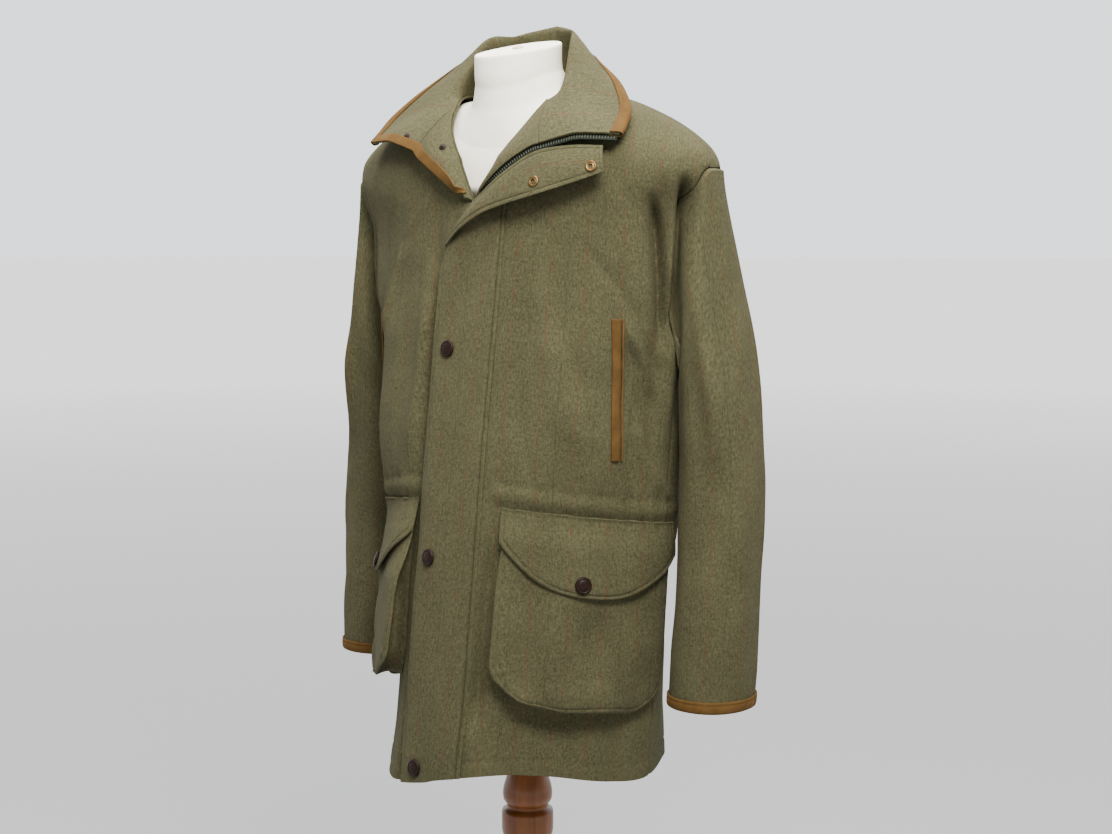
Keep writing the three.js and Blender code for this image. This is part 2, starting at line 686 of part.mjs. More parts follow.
// The facings: the parts of the fronts that are rolled outwards beside the opening.
const facingRows = rowList.slice(hemRows + armholeRows);
const facingColumns = 4;
const facingClear = 0.8;
const facingBow = 5;
function facing(name, side) {
  const zKey = side > 0 ? 'zLeft' : 'zRight';
  const grid = facingRows.map((row) => {
    const roll = angleAtX(row, lookUp(rollLine, 'row', 'x', row) + 1) * side;
    const from = bodyMoved(row, roll, facingClear + clothThick / 2);
    const to = vec(
      lookUp(zipEdge, 'row', 'x', row) * side,
      lookUp(zipEdge, 'row', 'y', row),
      lookUp(zipEdge, 'row', zKey, row),
    );
    const line = [];
    for (let j = 0; j <= facingColumns; j += 1) {
      const t = j / facingColumns;
      const p = from.clone().lerp(to, t);
      p.y -= facingBow * Math.sin(Math.PI * t) * clamp((row - shoulderRow) / 0.6);
      line.push(p);
    }
    return line;
  });
  grid[grid.length - 1].forEach((p) => p.setZ(p.z - 0.4));
  add(name, wallOnGrid(grid, -clothThick / 2, clothThick / 2, false), clothColour);
  return grid;
}
const leftFacing = facing('facing_left', 1);
const rightFacing = facing('facing_right', -1);

// The collar: one piece from zip end to zip end.
const collarKeys = ['angle', 'rollX', 'rollY', 'rollZ', 'edgeX', 'edgeY', 'edgeZ', 'bulge', 'liftRight'];
const facingTop = (grid, t) => {
  const top = grid[grid.length - 1];
  const below = grid[grid.length - 2];
  const place = t * (top.length - 1);
  const j = Math.min(top.length - 2, Math.floor(place));
  const here = top[j].clone().lerp(top[j + 1], place - j);
  const under = below[j].clone().lerp(below[j + 1], place - j);
  return here.addScaledVector(here.clone().sub(under).normalize(), collarSeam);
};
function collarProfile(place, side) {
  const s = {};
  for (const key of collarKeys) s[key] = curveThrough(collarStations, key, place);
  const lifted = side < 0 ? s.liftRight : 0;
  const roll = vec(s.rollX * side, s.rollY, s.rollZ + lifted * 0.3);
  const edge = vec(s.edgeX * side, s.edgeY, s.edgeZ + lifted);
  let start;
  if (place < 2) {
    start = facingTop(side > 0 ? leftFacing : rightFacing, 1 - place / 2);
  } else {
    const angle = lookUp(collarStations.slice(2), 'angle', 'angle', s.angle) * side;
    const up = bodyPoint(neckRow, angle).sub(bodyPoint(neckRow - 0.02, angle)).normalize();
    const sunk = mix(clothThick / 2 + 0.6, -clothThick / 2, ease((place - 2) / 1.2));
    start = bodyMoved(neckRow, angle, sunk).addScaledVector(up, mix(0.9, collarSeam + 1.2, ease(place - 2)));
  }
  const lift = roll.clone().sub(start.clone().add(edge).multiplyScalar(0.5));
  const curve = new THREE.CatmullRomCurve3([
    start,
    start.clone().lerp(roll, 0.6).addScaledVector(lift, 0.06),
    roll,
    roll.clone().lerp(edge, 0.45).addScaledVector(lift, s.bulge),
    edge,
  ], false, 'centripetal');
  const line = [];
  for (let j = 0; j < collarRows; j += 1) line.push(curve.getPointAt(j / (collarRows - 1)));
  return line;
}

const collarGrid = [];
const collarLast = collarStations.length - 1;
for (let i = 0; i <= collarSteps; i += 1) collarGrid.push(collarProfile(collarLast * i / collarSteps, 1));
for (let i = collarSteps - 1; i >= 0; i -= 1) collarGrid.push(collarProfile(collarLast * i / collarSteps, -1));
add('collar', wallOnGrid(collarGrid, -collarThick / 2, collarThick / 2, false), clothColour);

// The suede edging that binds the collar's outer edge: a channel round the edge.
function edging(name, columns, span, thick) {
  const gap = 1.2;
  const skins = [gap + suedeThick, gap].map((clear) => columns.map((line, i) => {
    const edge = line[line.length - 1];
    const inside = line[line.length - 2];
    const along = columns[Math.min(columns.length - 1, i + 1)][line.length - 1].clone()
      .sub(columns[Math.max(0, i - 1)][line.length - 1]);
    const back = inside.clone().sub(edge).normalize();
    const out = along.clone().cross(back).normalize();
    const place = (up, side) => edge.clone().addScaledVector(back, up).addScaledVector(out, side);
    const half = thick / 2 + clear;
    return [place(span, half), place(-clear, half), place(-clear, -half), place(span, -half)];
  }));
  add(name, wall(skins[0], skins[1], false), suedeColour);
}
edging('collar_edging', collarGrid, edgingWide, collarThick);

// The zip: its closed run under the storm flap, its left edge beside the opening, and its slider.
const zipThick = 2;
const zipInset = seamGap + 0.1;
const zipRun = [-1, 1].map((skin) => stormRows.map((row) => [-1, 0, 1].map((part) => {
  const angle = angleAtX(row, zipHalf - zipInset) * part;
  return bodyMoved(row, angle, -clothThick / 2 + skin * zipThick / 2);
})));
add('zip_closed', wall(zipRun[1], zipRun[0], false), zipColour);

// A strip along an opened front's zip edge, narrow at the foot of the opening.
function edgeStrip(name, facingGrid, ends, strip, look) {
  const edgePoints = facingGrid.map((line) => ({ edge: line[line.length - 1], inside: line[line.length - 2] }));
  for (let j = 1; j < ends.length - 1; j += 1) edgePoints.push({ edge: ends[j].edge, inside: ends[j].inside });
  const grid = edgePoints.map(({ edge, inside }, i) => {
    const next = edgePoints[Math.min(edgePoints.length - 1, i + 1)].edge;
    const prior = edgePoints[Math.max(0, i - 1)].edge;
    const along = next.clone().sub(prior).normalize();
    const back = inside.clone().sub(edge);
    back.addScaledVector(along, -back.dot(along)).normalize();
    const out = along.clone().cross(back).normalize();
    if (out.y > 0) out.negate();
    const narrow = i === 0 ? 0.4 : 1;
    const place = (reach) => edge.clone().addScaledVector(back, reach * narrow).addScaledVector(out, strip.before);
    return [place(strip.inside), place(-strip.past)];
  });
  add(name, wallOnGrid(grid, -strip.thick / 2, strip.thick / 2, false), look);
}
const collarFrontEnd = (columns) => columns[0].map((edge, j) => ({ edge, inside: columns[1][j] }));
const leftEnd = collarFrontEnd(collarGrid);
const rightEnd = collarFrontEnd([...collarGrid].reverse());
const zipTape = { inside: 3, past: 6, before: -4.4, thick: 1.2 };
edgeStrip('zip_tape_left', leftFacing.slice(1), leftEnd, zipTape, zipColour);
// The suede guard on the right front's zip edge.
const zipGuard = { inside: 10, past: 2.5, before: 3.2, thick: 1.6 };
edgeStrip('zip_guard_right', rightFacing.slice(1), rightEnd, zipGuard, suedeColour);

// Places on a front's own cloth, by the distance round it from the centre front and the height.
const fronts = { left: { grid: leftFront, side: 1 }, right: { grid: rightFront, side: -1 } };

function alongRow(line, distance) {
  let run = Math.abs(line[0].x);
  let j = 1;
  while (j < line.length - 1 && run + line[j].distanceTo(line[j - 1]) < distance) {
    run += line[j].distanceTo(line[j - 1]);
    j += 1;
  }
  const share = (distance - run) / line[j].distanceTo(line[j - 1]);
  return line[j - 1].clone().lerp(line[j], share);
}

function onCloth(front, distance, z) {
  let i = 0;
  while (i < front.grid.length - 2 && alongRow(front.grid[i + 1], distance).z < z) i += 1;
  const low = alongRow(front.grid[i], distance);
  const high = alongRow(front.grid[i + 1], distance);
  return low.lerp(high, (z - low.z) / (high.z - low.z));
}

function offCloth(front, distance, z, out) {
  const reach = 14;
  const sideways = onCloth(front, distance + reach, z).sub(onCloth(front, distance - reach, z));
  const up = onCloth(front, distance, z + reach).sub(onCloth(front, distance, z - reach));
  const normal = sideways.cross(up).normalize().multiplyScalar(front.side);
  return onCloth(front, distance, z).addScaledVector(normal, out);
}

// A wall on a grid of distances and heights, its columns running from the centre front.
function pieceOnFront(name, front, grid, low, high, look) {
  const rows = grid.map((line) => (front.side > 0 ? line : [...line].reverse()));
  add(name, wallOnGrid(rows, low, high, false), look);
}

// Bellows pockets. The patch stands off the front on a gusset that tucks in behind its edge.
const bagColumns = [-1, -1, -0.92, -0.68, -0.36, 0, 0.36, 0.68, 0.92, 1, 1];
const bagRows = [1, 1, 0.95, 0.86, 0.74, 0.6, 0.42, 0.2, 0];
function pocketBag(name, front) {
  const middle = (pocket.frontEdge + pocket.rearEdge) / 2;
  const half = (pocket.rearEdge - pocket.frontEdge) / 2;
  const grid = bagRows.map((down, i) => bagColumns.map((share, j) => {
    const isSide = j === 0 || j === bagColumns.length - 1;
    const isFoot = i === 0;
    const topZ = mix(pocket.topFront, pocket.topRear, (share + 1) / 2);
    const high = topZ - pocket.low;
    const intoRound = clamp((down * high - (high - pocket.cornerRound)) / pocket.cornerRound);
    const narrow = pocket.cornerRound * (1 - Math.sqrt(1 - intoRound * intoRound * 0.98));
    let reach = (half - narrow) * share;
    let z = topZ - down * high;
    const swell = pocket.puff * (1 - share * share) * (1 - down * down);
    const atRear = ease((share - 0.3) / 0.7);
    let out = (layerGap + pocket.gusset * mix(0.7, 1, down) + swell) * (1 - pocket.rearFlat * atRear);
    if (isSide) reach -= Math.sign(share) * pocket.underCut;
    if (isFoot) z += pocket.underCut;
    if (isSide || isFoot) out = layerGap + (isFoot ? 1.8 : 0.4);
    return offCloth(front, middle + reach, z, out);
  }));
  pieceOnFront(name, front, grid, -clothThick, 0, clothColour);
}

// The half-moon flap over each pocket.
const flapColumns = [-1, -0.9, -0.7, -0.45, -0.15, 0.15, 0.45, 0.7, 0.9, 1];
const flapRows = [1, 0.75, 0.5, 0.32, 0.16, 0];
function flapPoint(front, share, down, lift) {
  const middle = (pocketFlap.frontEdge + pocketFlap.rearEdge) / 2;
  const half = (pocketFlap.rearEdge - pocketFlap.frontEdge) / 2;
  const topZ = mix(pocketFlap.topFront, pocketFlap.topRear, (share + 1) / 2);
  const drop = pocketFlap.drop * (1 - pocketFlap.roundOff * Math.abs(share) ** 2.6);
  const atRear = ease((share - 0.3) / 0.7);
  const stand = (pocketFlap.stand + pocket.puff * (1 - share * share)) * (1 - pocket.rearFlat * 0.9 * atRear);
  const out = layerGap + 1.1 + stand * ease(down * drop / pocketFlap.riseIn) + lift;
  return offCloth(front, middle + half * share, topZ - drop * down, out);
}

for (const [word, front] of Object.entries(fronts)) {
  pocketBag(`pocket_bag_${word}`, front);
  const grid = flapRows.map((down) => flapColumns.map((share) => flapPoint(front, share, down, 0)));
  pieceOnFront(`pocket_flap_${word}`, front, grid, 0, flapThick, clothColour);
}

// The upright hand pockets: a broad suede welt and the narrow one behind it.
function handWelt(name, front, from, to) {
  const steps = 7;
  const grid = [];
  for (let i = 0; i <= steps; i += 1) {
    const z = mix(welt.low, welt.high, i / steps);
    const start = mix(welt.arcLow, welt.arcHigh, i / steps);
    grid.push([from, (from + to) / 2, to].map((over) => offCloth(front, start + over, z, layerGap + 0.2)));
  }
  pieceOnFront(name, front, grid, 0, suedeThick + 0.4, suedeColour);
}
for (const [word, front] of Object.entries(fronts)) {
  handWelt(`hand_welt_${word}`, front, 0, welt.wide);
  handWelt(`hand_welt_back_${word}`, front, welt.wide + welt.slit, welt.wide + welt.slit + welt.narrow);
}

// Turned pieces are lathed about their own axis, then stood on the cloth.
function lathe(profile, segments) {
  const outline = profile.map(([radius, high]) => new THREE.Vector2(radius, high));
  return new THREE.LatheGeometry(outline, segments);
}

function standOn(name, geometry, seat, outwards, look) {
  const mesh = add(name, geometry, look);
  mesh.quaternion.setFromUnitVectors(vec(0, 1, 0), outwards.clone().normalize());
  mesh.position.copy(seat);
  return mesh;
}

const capSegments = 14;
const capProfile = [
  [0, 0], [cap.radius * 0.8, 0], [cap.radius, cap.high * 0.35], [cap.radius * 0.92, cap.high * 0.75],
  [cap.radius * 0.6, cap.high], [cap.radius * 0.3, cap.high * 0.86], [0, cap.high * 0.82],
];
function stormSeatAt(z) {
  const i = stormOuter.findIndex((line) => line[0].z > z) - 1;
  const share = (z - stormOuter[i][0].z) / (stormOuter[i + 1][0].z - stormOuter[i][0].z);
  const [first, second] = [0, 1].map((j) => stormOuter[i][j].clone().lerp(stormOuter[i + 1][j], share));
  const sideways = second.clone().sub(first);
  const up = stormOuter[i + 1][0].clone().sub(stormOuter[i][0]);
  const out = sideways.clone().cross(up).normalize();
  const seat = first.addScaledVector(sideways.normalize(), capInset).addScaledVector(out, seamGap);
  return { seat, out };
}
capHeights.forEach((z, i) => {
  const { seat, out } = stormSeatAt(z);
  standOn(`storm_cap_${i + 1}`, lathe(capProfile, capSegments), seat, out, capColour);
});
const capShare = -0.12;
const capDown = 0.86;
const capStep = 0.12;
for (const [word, front] of Object.entries(fronts)) {
  const lift = flapThick + 0.5;
  const here = flapPoint(front, capShare, capDown, lift);
  const beside = flapPoint(front, capShare + capStep, capDown, lift).sub(here);
  const above = flapPoint(front, capShare, capDown - capStep, lift).sub(here);
  const out = beside.cross(above).multiplyScalar(front.side);
  standOn(`pocket_cap_${word}`, lathe(capProfile, capSegments), here, out, capColour);
}

const socketProfile = [
  [socket.hole, 0], [socket.radius, 0], [socket.radius, socket.high * 0.5],
  [socket.radius * 0.75, socket.high], [socket.hole, socket.high * 0.8], [socket.hole, 0],
];
function socketOn(name, grid, i, j, share, low, look) {
  const a = grid[i][j];
  const seat = a.clone().lerp(grid[i + 1][j], share);
  const along = grid[i + 1][j].clone().sub(a);
  const over = grid[i][Math.min(grid[i].length - 1, j + 1)].clone().sub(grid[i][Math.max(0, j - 1)]);
  const out = along.cross(over).normalize();
  if (out.y > 0) out.negate();
  standOn(name, lathe(socketProfile, 12), seat.addScaledVector(out, low), out, look);
}
const socketSeat = flapThick / 2 + 0.4;
socketOn('storm_socket_lower', turnedGrid, 7, 2, 0.5, socketSeat, brassColour);
socketOn('storm_socket_upper', turnedGrid, 10, 2, 0.6, socketSeat, brassColour);
const rightColumns = [...collarGrid].reverse();
socketOn('stud_right_lower', rightFacing, 4, 1, 0.5, clothThick / 2 + 0.6, capColour);
socketOn('stud_right_upper', rightColumns, 2, 3, 0.2, collarThick / 2 + 0.5, capColour);

// The dress form, a whole closed body under the cloth. Its shoulders carry the jacket.
function formPoint(z, turn) {
  const place = formRings.findIndex((ring) => ring.z > z);
  const i = place < 0 ? formRings.length - 2 : Math.max(0, place - 1);
  const t = clamp((z - formRings[i].z) / (formRings[i + 1].z - formRings[i].z));
  const size = (key) => curveThrough(formRings, key, i + t);
  const s = Math.sin(turn);
  const c = Math.cos(turn);
  return vec(size('half') * s, -(c >= 0 ? size('front') : size('back')) * c, z);
}
const formSegments = 28;
const formLevels = [800, 812, 850, 900, 960, 1020, 1080, 1150, 1210, 1270, 1320];
const formGrid = formLevels.map((z, i) => {
  const inset = i === 0 ? 0.9 : 1;
  const line = [];
  for (let j = 0; j < formSegments; j += 1) {
    const p = formPoint(z, 2 * Math.PI * j / formSegments);
    line.push(vec(p.x * inset, p.y * inset, z));
  }
  return line;
});
// Above the chest the form follows the inside of the jacket's shoulders, a little way in. It hangs
// clear of the cloth at its first level and carries it from the shoulder edge up.
const shoulderLevels = [7.6, 8, 8.5, 9, 9.5, 10, 10.5, 10.7];
const looseInset = 30;
const looseDrop = 10;
const chestFlatten = 0.16;
const frontDrop = 5;
for (const row of shoulderLevels) {
  const line = [];
  const seated = ease((row - 8.2) / 0.8);
  for (let j = 0; j < formSegments; j += 1) {
    const degrees = 360 * j / formSegments;
    const c = Math.cos(THREE.MathUtils.degToRad(degrees));
    const inset = mix(looseInset, clothThick + shoulderClear, seated);
    const p = plainBody(row, degrees).addScaledVector(across(plainBody, row, degrees), -inset);
    p.x *= mix(mix(0.9, 0.96, row - shoulderLevels[0]), 1, seated);
    p.y *= 1 - chestFlatten * ease((Math.abs(c) - 0.1) / 0.5);
    p.z -= frontDrop * ease((c - 0.1) / 0.6) + mix(looseDrop, 0, seated);
    line.push(p);
  }
  formGrid.push(line);
}
// The neck rises out of the shoulders with a flare at its root, to a slanting top.
const neckLifts = [0.08, 0.18, 0.3, 0.45, 0.7, 1];
const neckFlare = 0.36;
const neckRoot = { side: 1511, frontDip: 30, backRise: 10 };
for (const lift of neckLifts) {
  const line = [];
  const spread = 1 + neckFlare * (1 - Math.sqrt(clamp(lift * 2)));
  for (let j = 0; j < formSegments; j += 1) {
    const turn = 2 * Math.PI * j / formSegments;
    const c = Math.cos(turn);
    const top = mix(formNeck.zBack, formNeck.zFront, (c + 1) / 2);
    const front = Math.max(0, c) ** 1.5;
    const root = neckRoot.side - neckRoot.frontDip * front + neckRoot.backRise * Math.max(0, -c);
    line.push(vec(
      formNeck.half * spread * Math.sin(turn),
      -formNeck.lean * ease(lift + 0.3) - formNeck.deep * spread * c,
      mix(root, top, lift),
    ));
  }
  formGrid.push(line);
}

// Closes a stack of rings with a fan at each end.
function solidStack(stack, low, high) {
  const count = stack[0].length;
  const points = [];
  for (const p of stack.flat()) points.push(p.x, p.y, p.z);
  points.push(low.x, low.y, low.z, high.x, high.y, high.z);
  const faces = [];
  for (let i = 0; i < stack.length - 1; i += 1) {
    for (let j = 0; j < count; j += 1) {
      const k = (j + 1) % count;
      const [a, b, c, d] = [i * count + j, i * count + k, (i + 1) * count + k, (i + 1) * count + j];
      faces.push(a, b, c, a, c, d);
    }
  }
  const foot = stack.length * count;
  const top = (stack.length - 1) * count;
  for (let j = 0; j < count; j += 1) {
    const k = (j + 1) % count;
    faces.push(foot, k, j, foot + 1, top + j, top + k);
  }
  const geometry = new THREE.BufferGeometry();
  geometry.setAttribute('position', new THREE.Float32BufferAttribute(points, 3));
  geometry.setIndex(faces);
  return outward(geometry);
}
const meanOf = (line) => line.reduce((sum, p) => sum.add(p), vec(0, 0, 0)).divideScalar(line.length);
const neckTop = meanOf(formGrid[formGrid.length - 1]);
add('dress_form', solidStack(formGrid, meanOf(formGrid[0]), neckTop), calicoColour);

// The plug in the neck cap, the turned post and the round base.
const neckSlope = vec(0, formNeck.zFront - formNeck.zBack, 2 * formNeck.deep).normalize();
const plugProfile = [
  [0, 0], [neckPlug.radius, 0], [neckPlug.radius, neckPlug.high * 0.6],
  [neckPlug.radius * 0.7, neckPlug.high], [0, neckPlug.high],
];
const plugSeat = neckTop.clone().addScaledVector(neckSlope, seamGap);
standOn('neck_plug', lathe(plugProfile, 12), plugSeat, neckSlope, woodColour);

const postProfile = [[0, post[post.length - 1].z]];
for (const turned of [...post].reverse()) postProfile.push([turned.radius, turned.z]);
const postTop = post[0].z - seamGap;
postProfile[postProfile.length - 1][1] = postTop;
postProfile.push([0, postTop]);
standOn('post', lathe(postProfile, 20), vec(0, 0, 0), vec(0, 0, 1), woodColour);
const baseProfile = [
  [0, 0], [base.radius - base.edge * 0.4, 0], [base.radius, base.edge * 0.4],
  [base.radius, base.thick - base.edge], [base.radius - base.edge, base.thick], [0, base.thick],
];
standOn('base', lathe(baseProfile, 40), vec(0, 0, 0), vec(0, 0, 1), woodColour);

export default jacket;
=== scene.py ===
# A tweed hunting jacket, zipped and turned open at the neck, on a dress form with a turned stand.
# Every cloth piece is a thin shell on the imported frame's own form. Sizes are in millimetres until a
# piece is laid down, and +X is the wearer's left.
import math
import bmesh
import bpy
import numpy as np
from mathutils import Matrix, Vector


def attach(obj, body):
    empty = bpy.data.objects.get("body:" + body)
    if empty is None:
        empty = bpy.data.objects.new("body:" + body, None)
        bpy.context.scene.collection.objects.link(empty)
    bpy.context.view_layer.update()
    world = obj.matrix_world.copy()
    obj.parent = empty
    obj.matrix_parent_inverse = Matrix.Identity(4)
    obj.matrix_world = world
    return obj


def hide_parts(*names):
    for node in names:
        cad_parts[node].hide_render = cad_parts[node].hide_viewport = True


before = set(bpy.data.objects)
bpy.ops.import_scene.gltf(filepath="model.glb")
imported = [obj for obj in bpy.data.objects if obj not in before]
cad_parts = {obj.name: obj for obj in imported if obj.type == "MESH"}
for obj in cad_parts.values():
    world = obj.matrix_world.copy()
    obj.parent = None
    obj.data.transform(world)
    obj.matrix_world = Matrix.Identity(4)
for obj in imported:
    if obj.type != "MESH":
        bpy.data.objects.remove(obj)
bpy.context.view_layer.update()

mm = 0.001


# arithmetic

def table(names, rows):
    return {name: np.array([row[i] for row in rows], float) for i, name in enumerate(names.split())}


def clamp(t):
    return np.clip(t, 0.0, 1.0)


def ease(t):
    s = clamp(t)
    return s * s * (3 - 2 * s)


def bump(t):
    return np.exp(-1.6 * np.square(t))


def mix(a, b, t):
    return a + (b - a) * t


def unit(v):
    return v / np.maximum(np.linalg.norm(v, axis=-1, keepdims=True), 1e-9)


def groove(distance, wide):
    return np.exp(-np.square(distance / wide))


def runAlong(line):  # the distance of each point from a line's first one
    return np.concatenate([[0], np.cumsum(np.linalg.norm(np.diff(line, axis=0), axis=1))])


def runAcross(points):  # the same along each row of a grid
    steps = np.linalg.norm(np.diff(points, axis=1), axis=2)
    return np.concatenate([np.zeros((len(points), 1)), np.cumsum(steps, axis=1)], 1)


def atRun(line, run, distance):  # the point at a distance along a line
    return np.array([np.interp(distance, run, line[:, axis]) for axis in range(3)])


def through(column, place):  # a smooth curve through a table's column
    last = len(column) - 1
    i = np.clip(np.floor(place).astype(int), 0, last - 1)
    t = place - i
    p1, p2 = column[i], column[i + 1]
    p0 = np.where(i > 0, column[np.maximum(i - 1, 0)], 2 * p1 - p2)
    p3 = np.where(i < last - 1, column[np.minimum(i + 2, last)], 2 * p2 - p1)
    a = 2 * p1 - 2 * p2 + (p2 - p0) / 2 + (p3 - p1) / 2
    b = -3 * p1 + 3 * p2 - (p2 - p0) - (p3 - p1) / 2
    return ((a * t + b) * t + (p2 - p0) / 2) * t + p1


def lookUp(rows, by, key, value):
    i = np.clip(np.searchsorted(rows[by], value) - 1, 0, len(rows[by]) - 2)
    t = (value - rows[by][i]) / (rows[by][i + 1] - rows[by][i])
    return through(rows[key], i + clamp(t))


def ripple(t, seed):  # an uneven wave between -1 and 1
    return (np.sin(t + seed) + 0.6 * np.sin(2.31 * t + 2 * seed) + 0.4 * np.sin(0.47 * t + 5 * seed)) / 2


# the body cloth's form, the same rings as the frame's

cloth = {"thick": 2.4, "collar": 3.0, "flap": 2.8, "layer": 0.85}
placket = {"zipHalf": 4.0, "stormHalf": 45.0, "turn": 14.0, "strip": 38.0}

rings = table("half front back zFront zSide zBack bowFront bowBack strip", [
    (178, 188, 122, 715, 712, 712, 1.5, 2.1, 38),  # hem
    (181, 180, 121, 798, 795, 797, 1.22, 2.1, 38),  # thigh
    (187, 168, 118, 895, 895, 895, 1.2, 2.1, 38),  # hip
    (196, 153, 110, 1005, 1000, 1005, 1.28, 2.15, 38),  # waist
    (202, 138, 113, 1105, 1100, 1105, 1.66, 2.2, 38),  # ribs
    (213, 124, 119, 1205, 1195, 1205, 1.55, 2.3, 38),  # underarm
    (236, 112, 121, 1286, 1285, 1298, 1.5, 2.4, 36),  # chest
    (245, 104, 116, 1345, 1368, 1384, 1.52, 2.4, 32),  # shoulder blade
    (262, 99, 105, 1388, 1424, 1440, 1.75, 2.3, 22),  # shoulder edge
    (232, 97, 99, 1410, 1463, 1474, 2.0, 2.25, 10),  # outer shoulder
    (160, 93, 88, 1438, 1500, 1510, 2.15, 2.2, 0),  # mid shoulder
    (80, 84, 72, 1468, 1522, 1540, 2.2, 2.1, 0),  # neck seam
])
cut = {"underarm": 5, "shoulder": 8, "neck": 11, "sideSeam": 93.0, "armholeFront": 16.0,
       "armholeBack": 26.0, "bowLow": 1.9, "bowHigh": 4.0}
cut["seamAngle"] = 0.3 / 2 / 3.3  # half a seam's gap of 0.3 mm, at 3.3 mm a degree
cut["reach"] = (cut["shoulder"] - cut["underarm"]) / 2
hemZ = rings["zFront"][0]
rollLine = table("row x", [(8.0, 4), (9.0, 14), (10.0, 29), (10.4, 41), (10.7, 53), (11.0, 67)])
hemWave = table("angle left right", [
    (0, 0, 0), (38, 16, -14), (80, -6, -17), (120, 4, -4), (180, 0, 0)])
casing = {"zFront": 1056, "zSide": 1026, "zBack": 1040, "halfWide": 11, "depth": 3.2, "stitchAt": 12.5,
          "stitchDeep": 1.3, "gatherAt": 16}
hemHang = {"left": 9, "right": 3, "top": 805, "fall": 90, "arc": 165, "halfWide": 120}

# side is 1 left, -1 right, 0 both; arc is round the cloth from the centre front
folds = table("side arcA zA arcB zB halfWide depth", [
    (-1, 238, 1402, 246, 1256, 48, 7),  # the right shoulder's fullness
    (0, 236, 1400, 250, 1280, 13, -6),  # armhole groove, upper
    (0, 226, 1370, 246, 1110, 16, -8),  # armhole groove, lower
    (0, 244, 1330, 262, 1130, 15, 6),  # armhole ridge
    (1, 110, 1225, 160, 1110, 30, 4),  # left chest sweep
    (1, 200, 1180, 230, 1060, 24, -5),  # left side sweep
    (-1, 66, 1190, 64, 960, 24, -7),  # right placket trough
    (-1, 150, 1260, 165, 1010, 46, 11),  # right chest ridge
    (1, 185, 820, 195, 715, 40, 7),  # left hem wave
    (1, 105, 800, 110, 715, 34, -6),  # left hem dip
    (-1, 190, 840, 200, 715, 36, 6),  # right hem wave
    (0, 318, 1150, 312, 900, 24, -6),  # side back trough
    (0, 385, 1410, 385, 1140, 15, -8),  # action pleat
    (1, 388, 1120, 372, 720, 34, 8),  # back drape, left
    (1, 440, 1060, 432, 716, 32, -8),  # back trough, left
    (-1, 380, 1100, 366, 720, 36, 9),  # back drape, right
    (-1, 425, 1090, 420, 716, 30, -8),  # back trough, right
])
# smaller creases, laid over the main folds
creases = table("side arcA zA arcB zB halfWide depth", [
    (1, 225, 1374, 246, 1232, 9, -24),  # the deep spindle before the left sleeve
    (1, 262, 1394, 259, 1246, 10, -33),
    (1, 304, 1125, 302, 975, 34, 8),  # the side's fullness behind the sleeve
    (-1, 230, 1350, 243, 1220, 11, -7),
    (-1, 264, 1404, 257, 1205, 12, -14),
    (1, 335, 1240, 330, 920, 42, 6),  # fullness behind the left side seam
    (-1, 58, 1310, 57, 716, 13, -11),  # in the shade of the storm flap's free edge
    (1, 150, 1330, 214, 1250, 10, -2.4),  # drag lines at the left armhole
    (1, 176, 1292, 226, 1205, 9, 2.2),
    (1, 196, 1262, 238, 1196, 7, -2.0),
    (1, 204, 1216, 236, 1150, 8, -3.2),  # beside the left hand pocket
    (1, 214, 1190, 204, 1100, 9, 2.6),
    (1, 200, 1242, 242, 1165, 10, 4.5),  # slanting folds behind the left hand pocket
    (1, 194, 1212, 232, 1138, 9, -3.5),
    (1, 226, 1122, 254, 1048, 10, 4.5),
    (1, 248, 1078, 274, 1040, 9, 3.5),
    (1, 142, 1205, 172, 1092, 13, -2.6),
    (1, 92, 1290, 132, 1130, 16, 2.2),
    (1, 70, 1200, 100, 1070, 14, -2.6),
    (1, 58, 970, 56, 800, 10, -11),  # the hollow between placket and pocket
    (1, 120, 790, 126, 716, 16, 1.6),
    (1, 150, 800, 165, 716, 46, -11),  # hollow below the left pocket
    (1, 232, 800, 236, 716, 15, -1.8),
    (-1, 120, 1330, 168, 1240, 12, 1.5),
    (-1, 136, 1328, 160, 1238, 7, 5),  # the crease above the right hand pocket
    (-1, 70, 1256, 84, 1100, 8, 5.5),  # and the one beside the placket
    (-1, 180, 1290, 222, 1200, 9, -2.0),
    (-1, 100, 1230, 112, 1090, 13, -1.8),
    (-1, 58, 1000, 60, 780, 10, -2.2),
    (-1, 150, 790, 160, 716, 15, -1.6),
    (0, 300, 1330, 338, 1230, 12, -1.8),  # behind the armholes
    (0, 330, 1270, 350, 1120, 14, 1.6),
    (1, 420, 1340, 400, 1180, 18, 1.6),
    (-1, 436, 1320, 410, 1150, 17, 1.8),
    (1, 345, 980, 340, 780, 14, -1.8),
    (-1, 335, 1000, 344, 800, 14, 1.7),
    (1, 462, 1000, 470, 800, 16, 1.5),
    (-1, 470, 960, 474, 760, 15, -1.5),
    (0, 60, 1405, 118, 1352, 12, 1.4),  # below the opened neck
    (0, 170, 1460, 196, 1380, 15, -1.4),
])


def ringAt(row):
    return {key: through(rings[key], row) for key in rings}


def frontDepth(ring, x):
    strip = np.maximum(0, ring["strip"])
    soft = placket["turn"] * strip / placket["strip"]

    def past(side):
        return (side - strip + np.hypot(side - strip, soft)) / 2
    share = np.minimum(1, past(np.abs(x)) / past(ring["half"]))
    return ring["front"] * (1 - share ** ring["bowFront"]) ** (1 / ring["bowFront"])


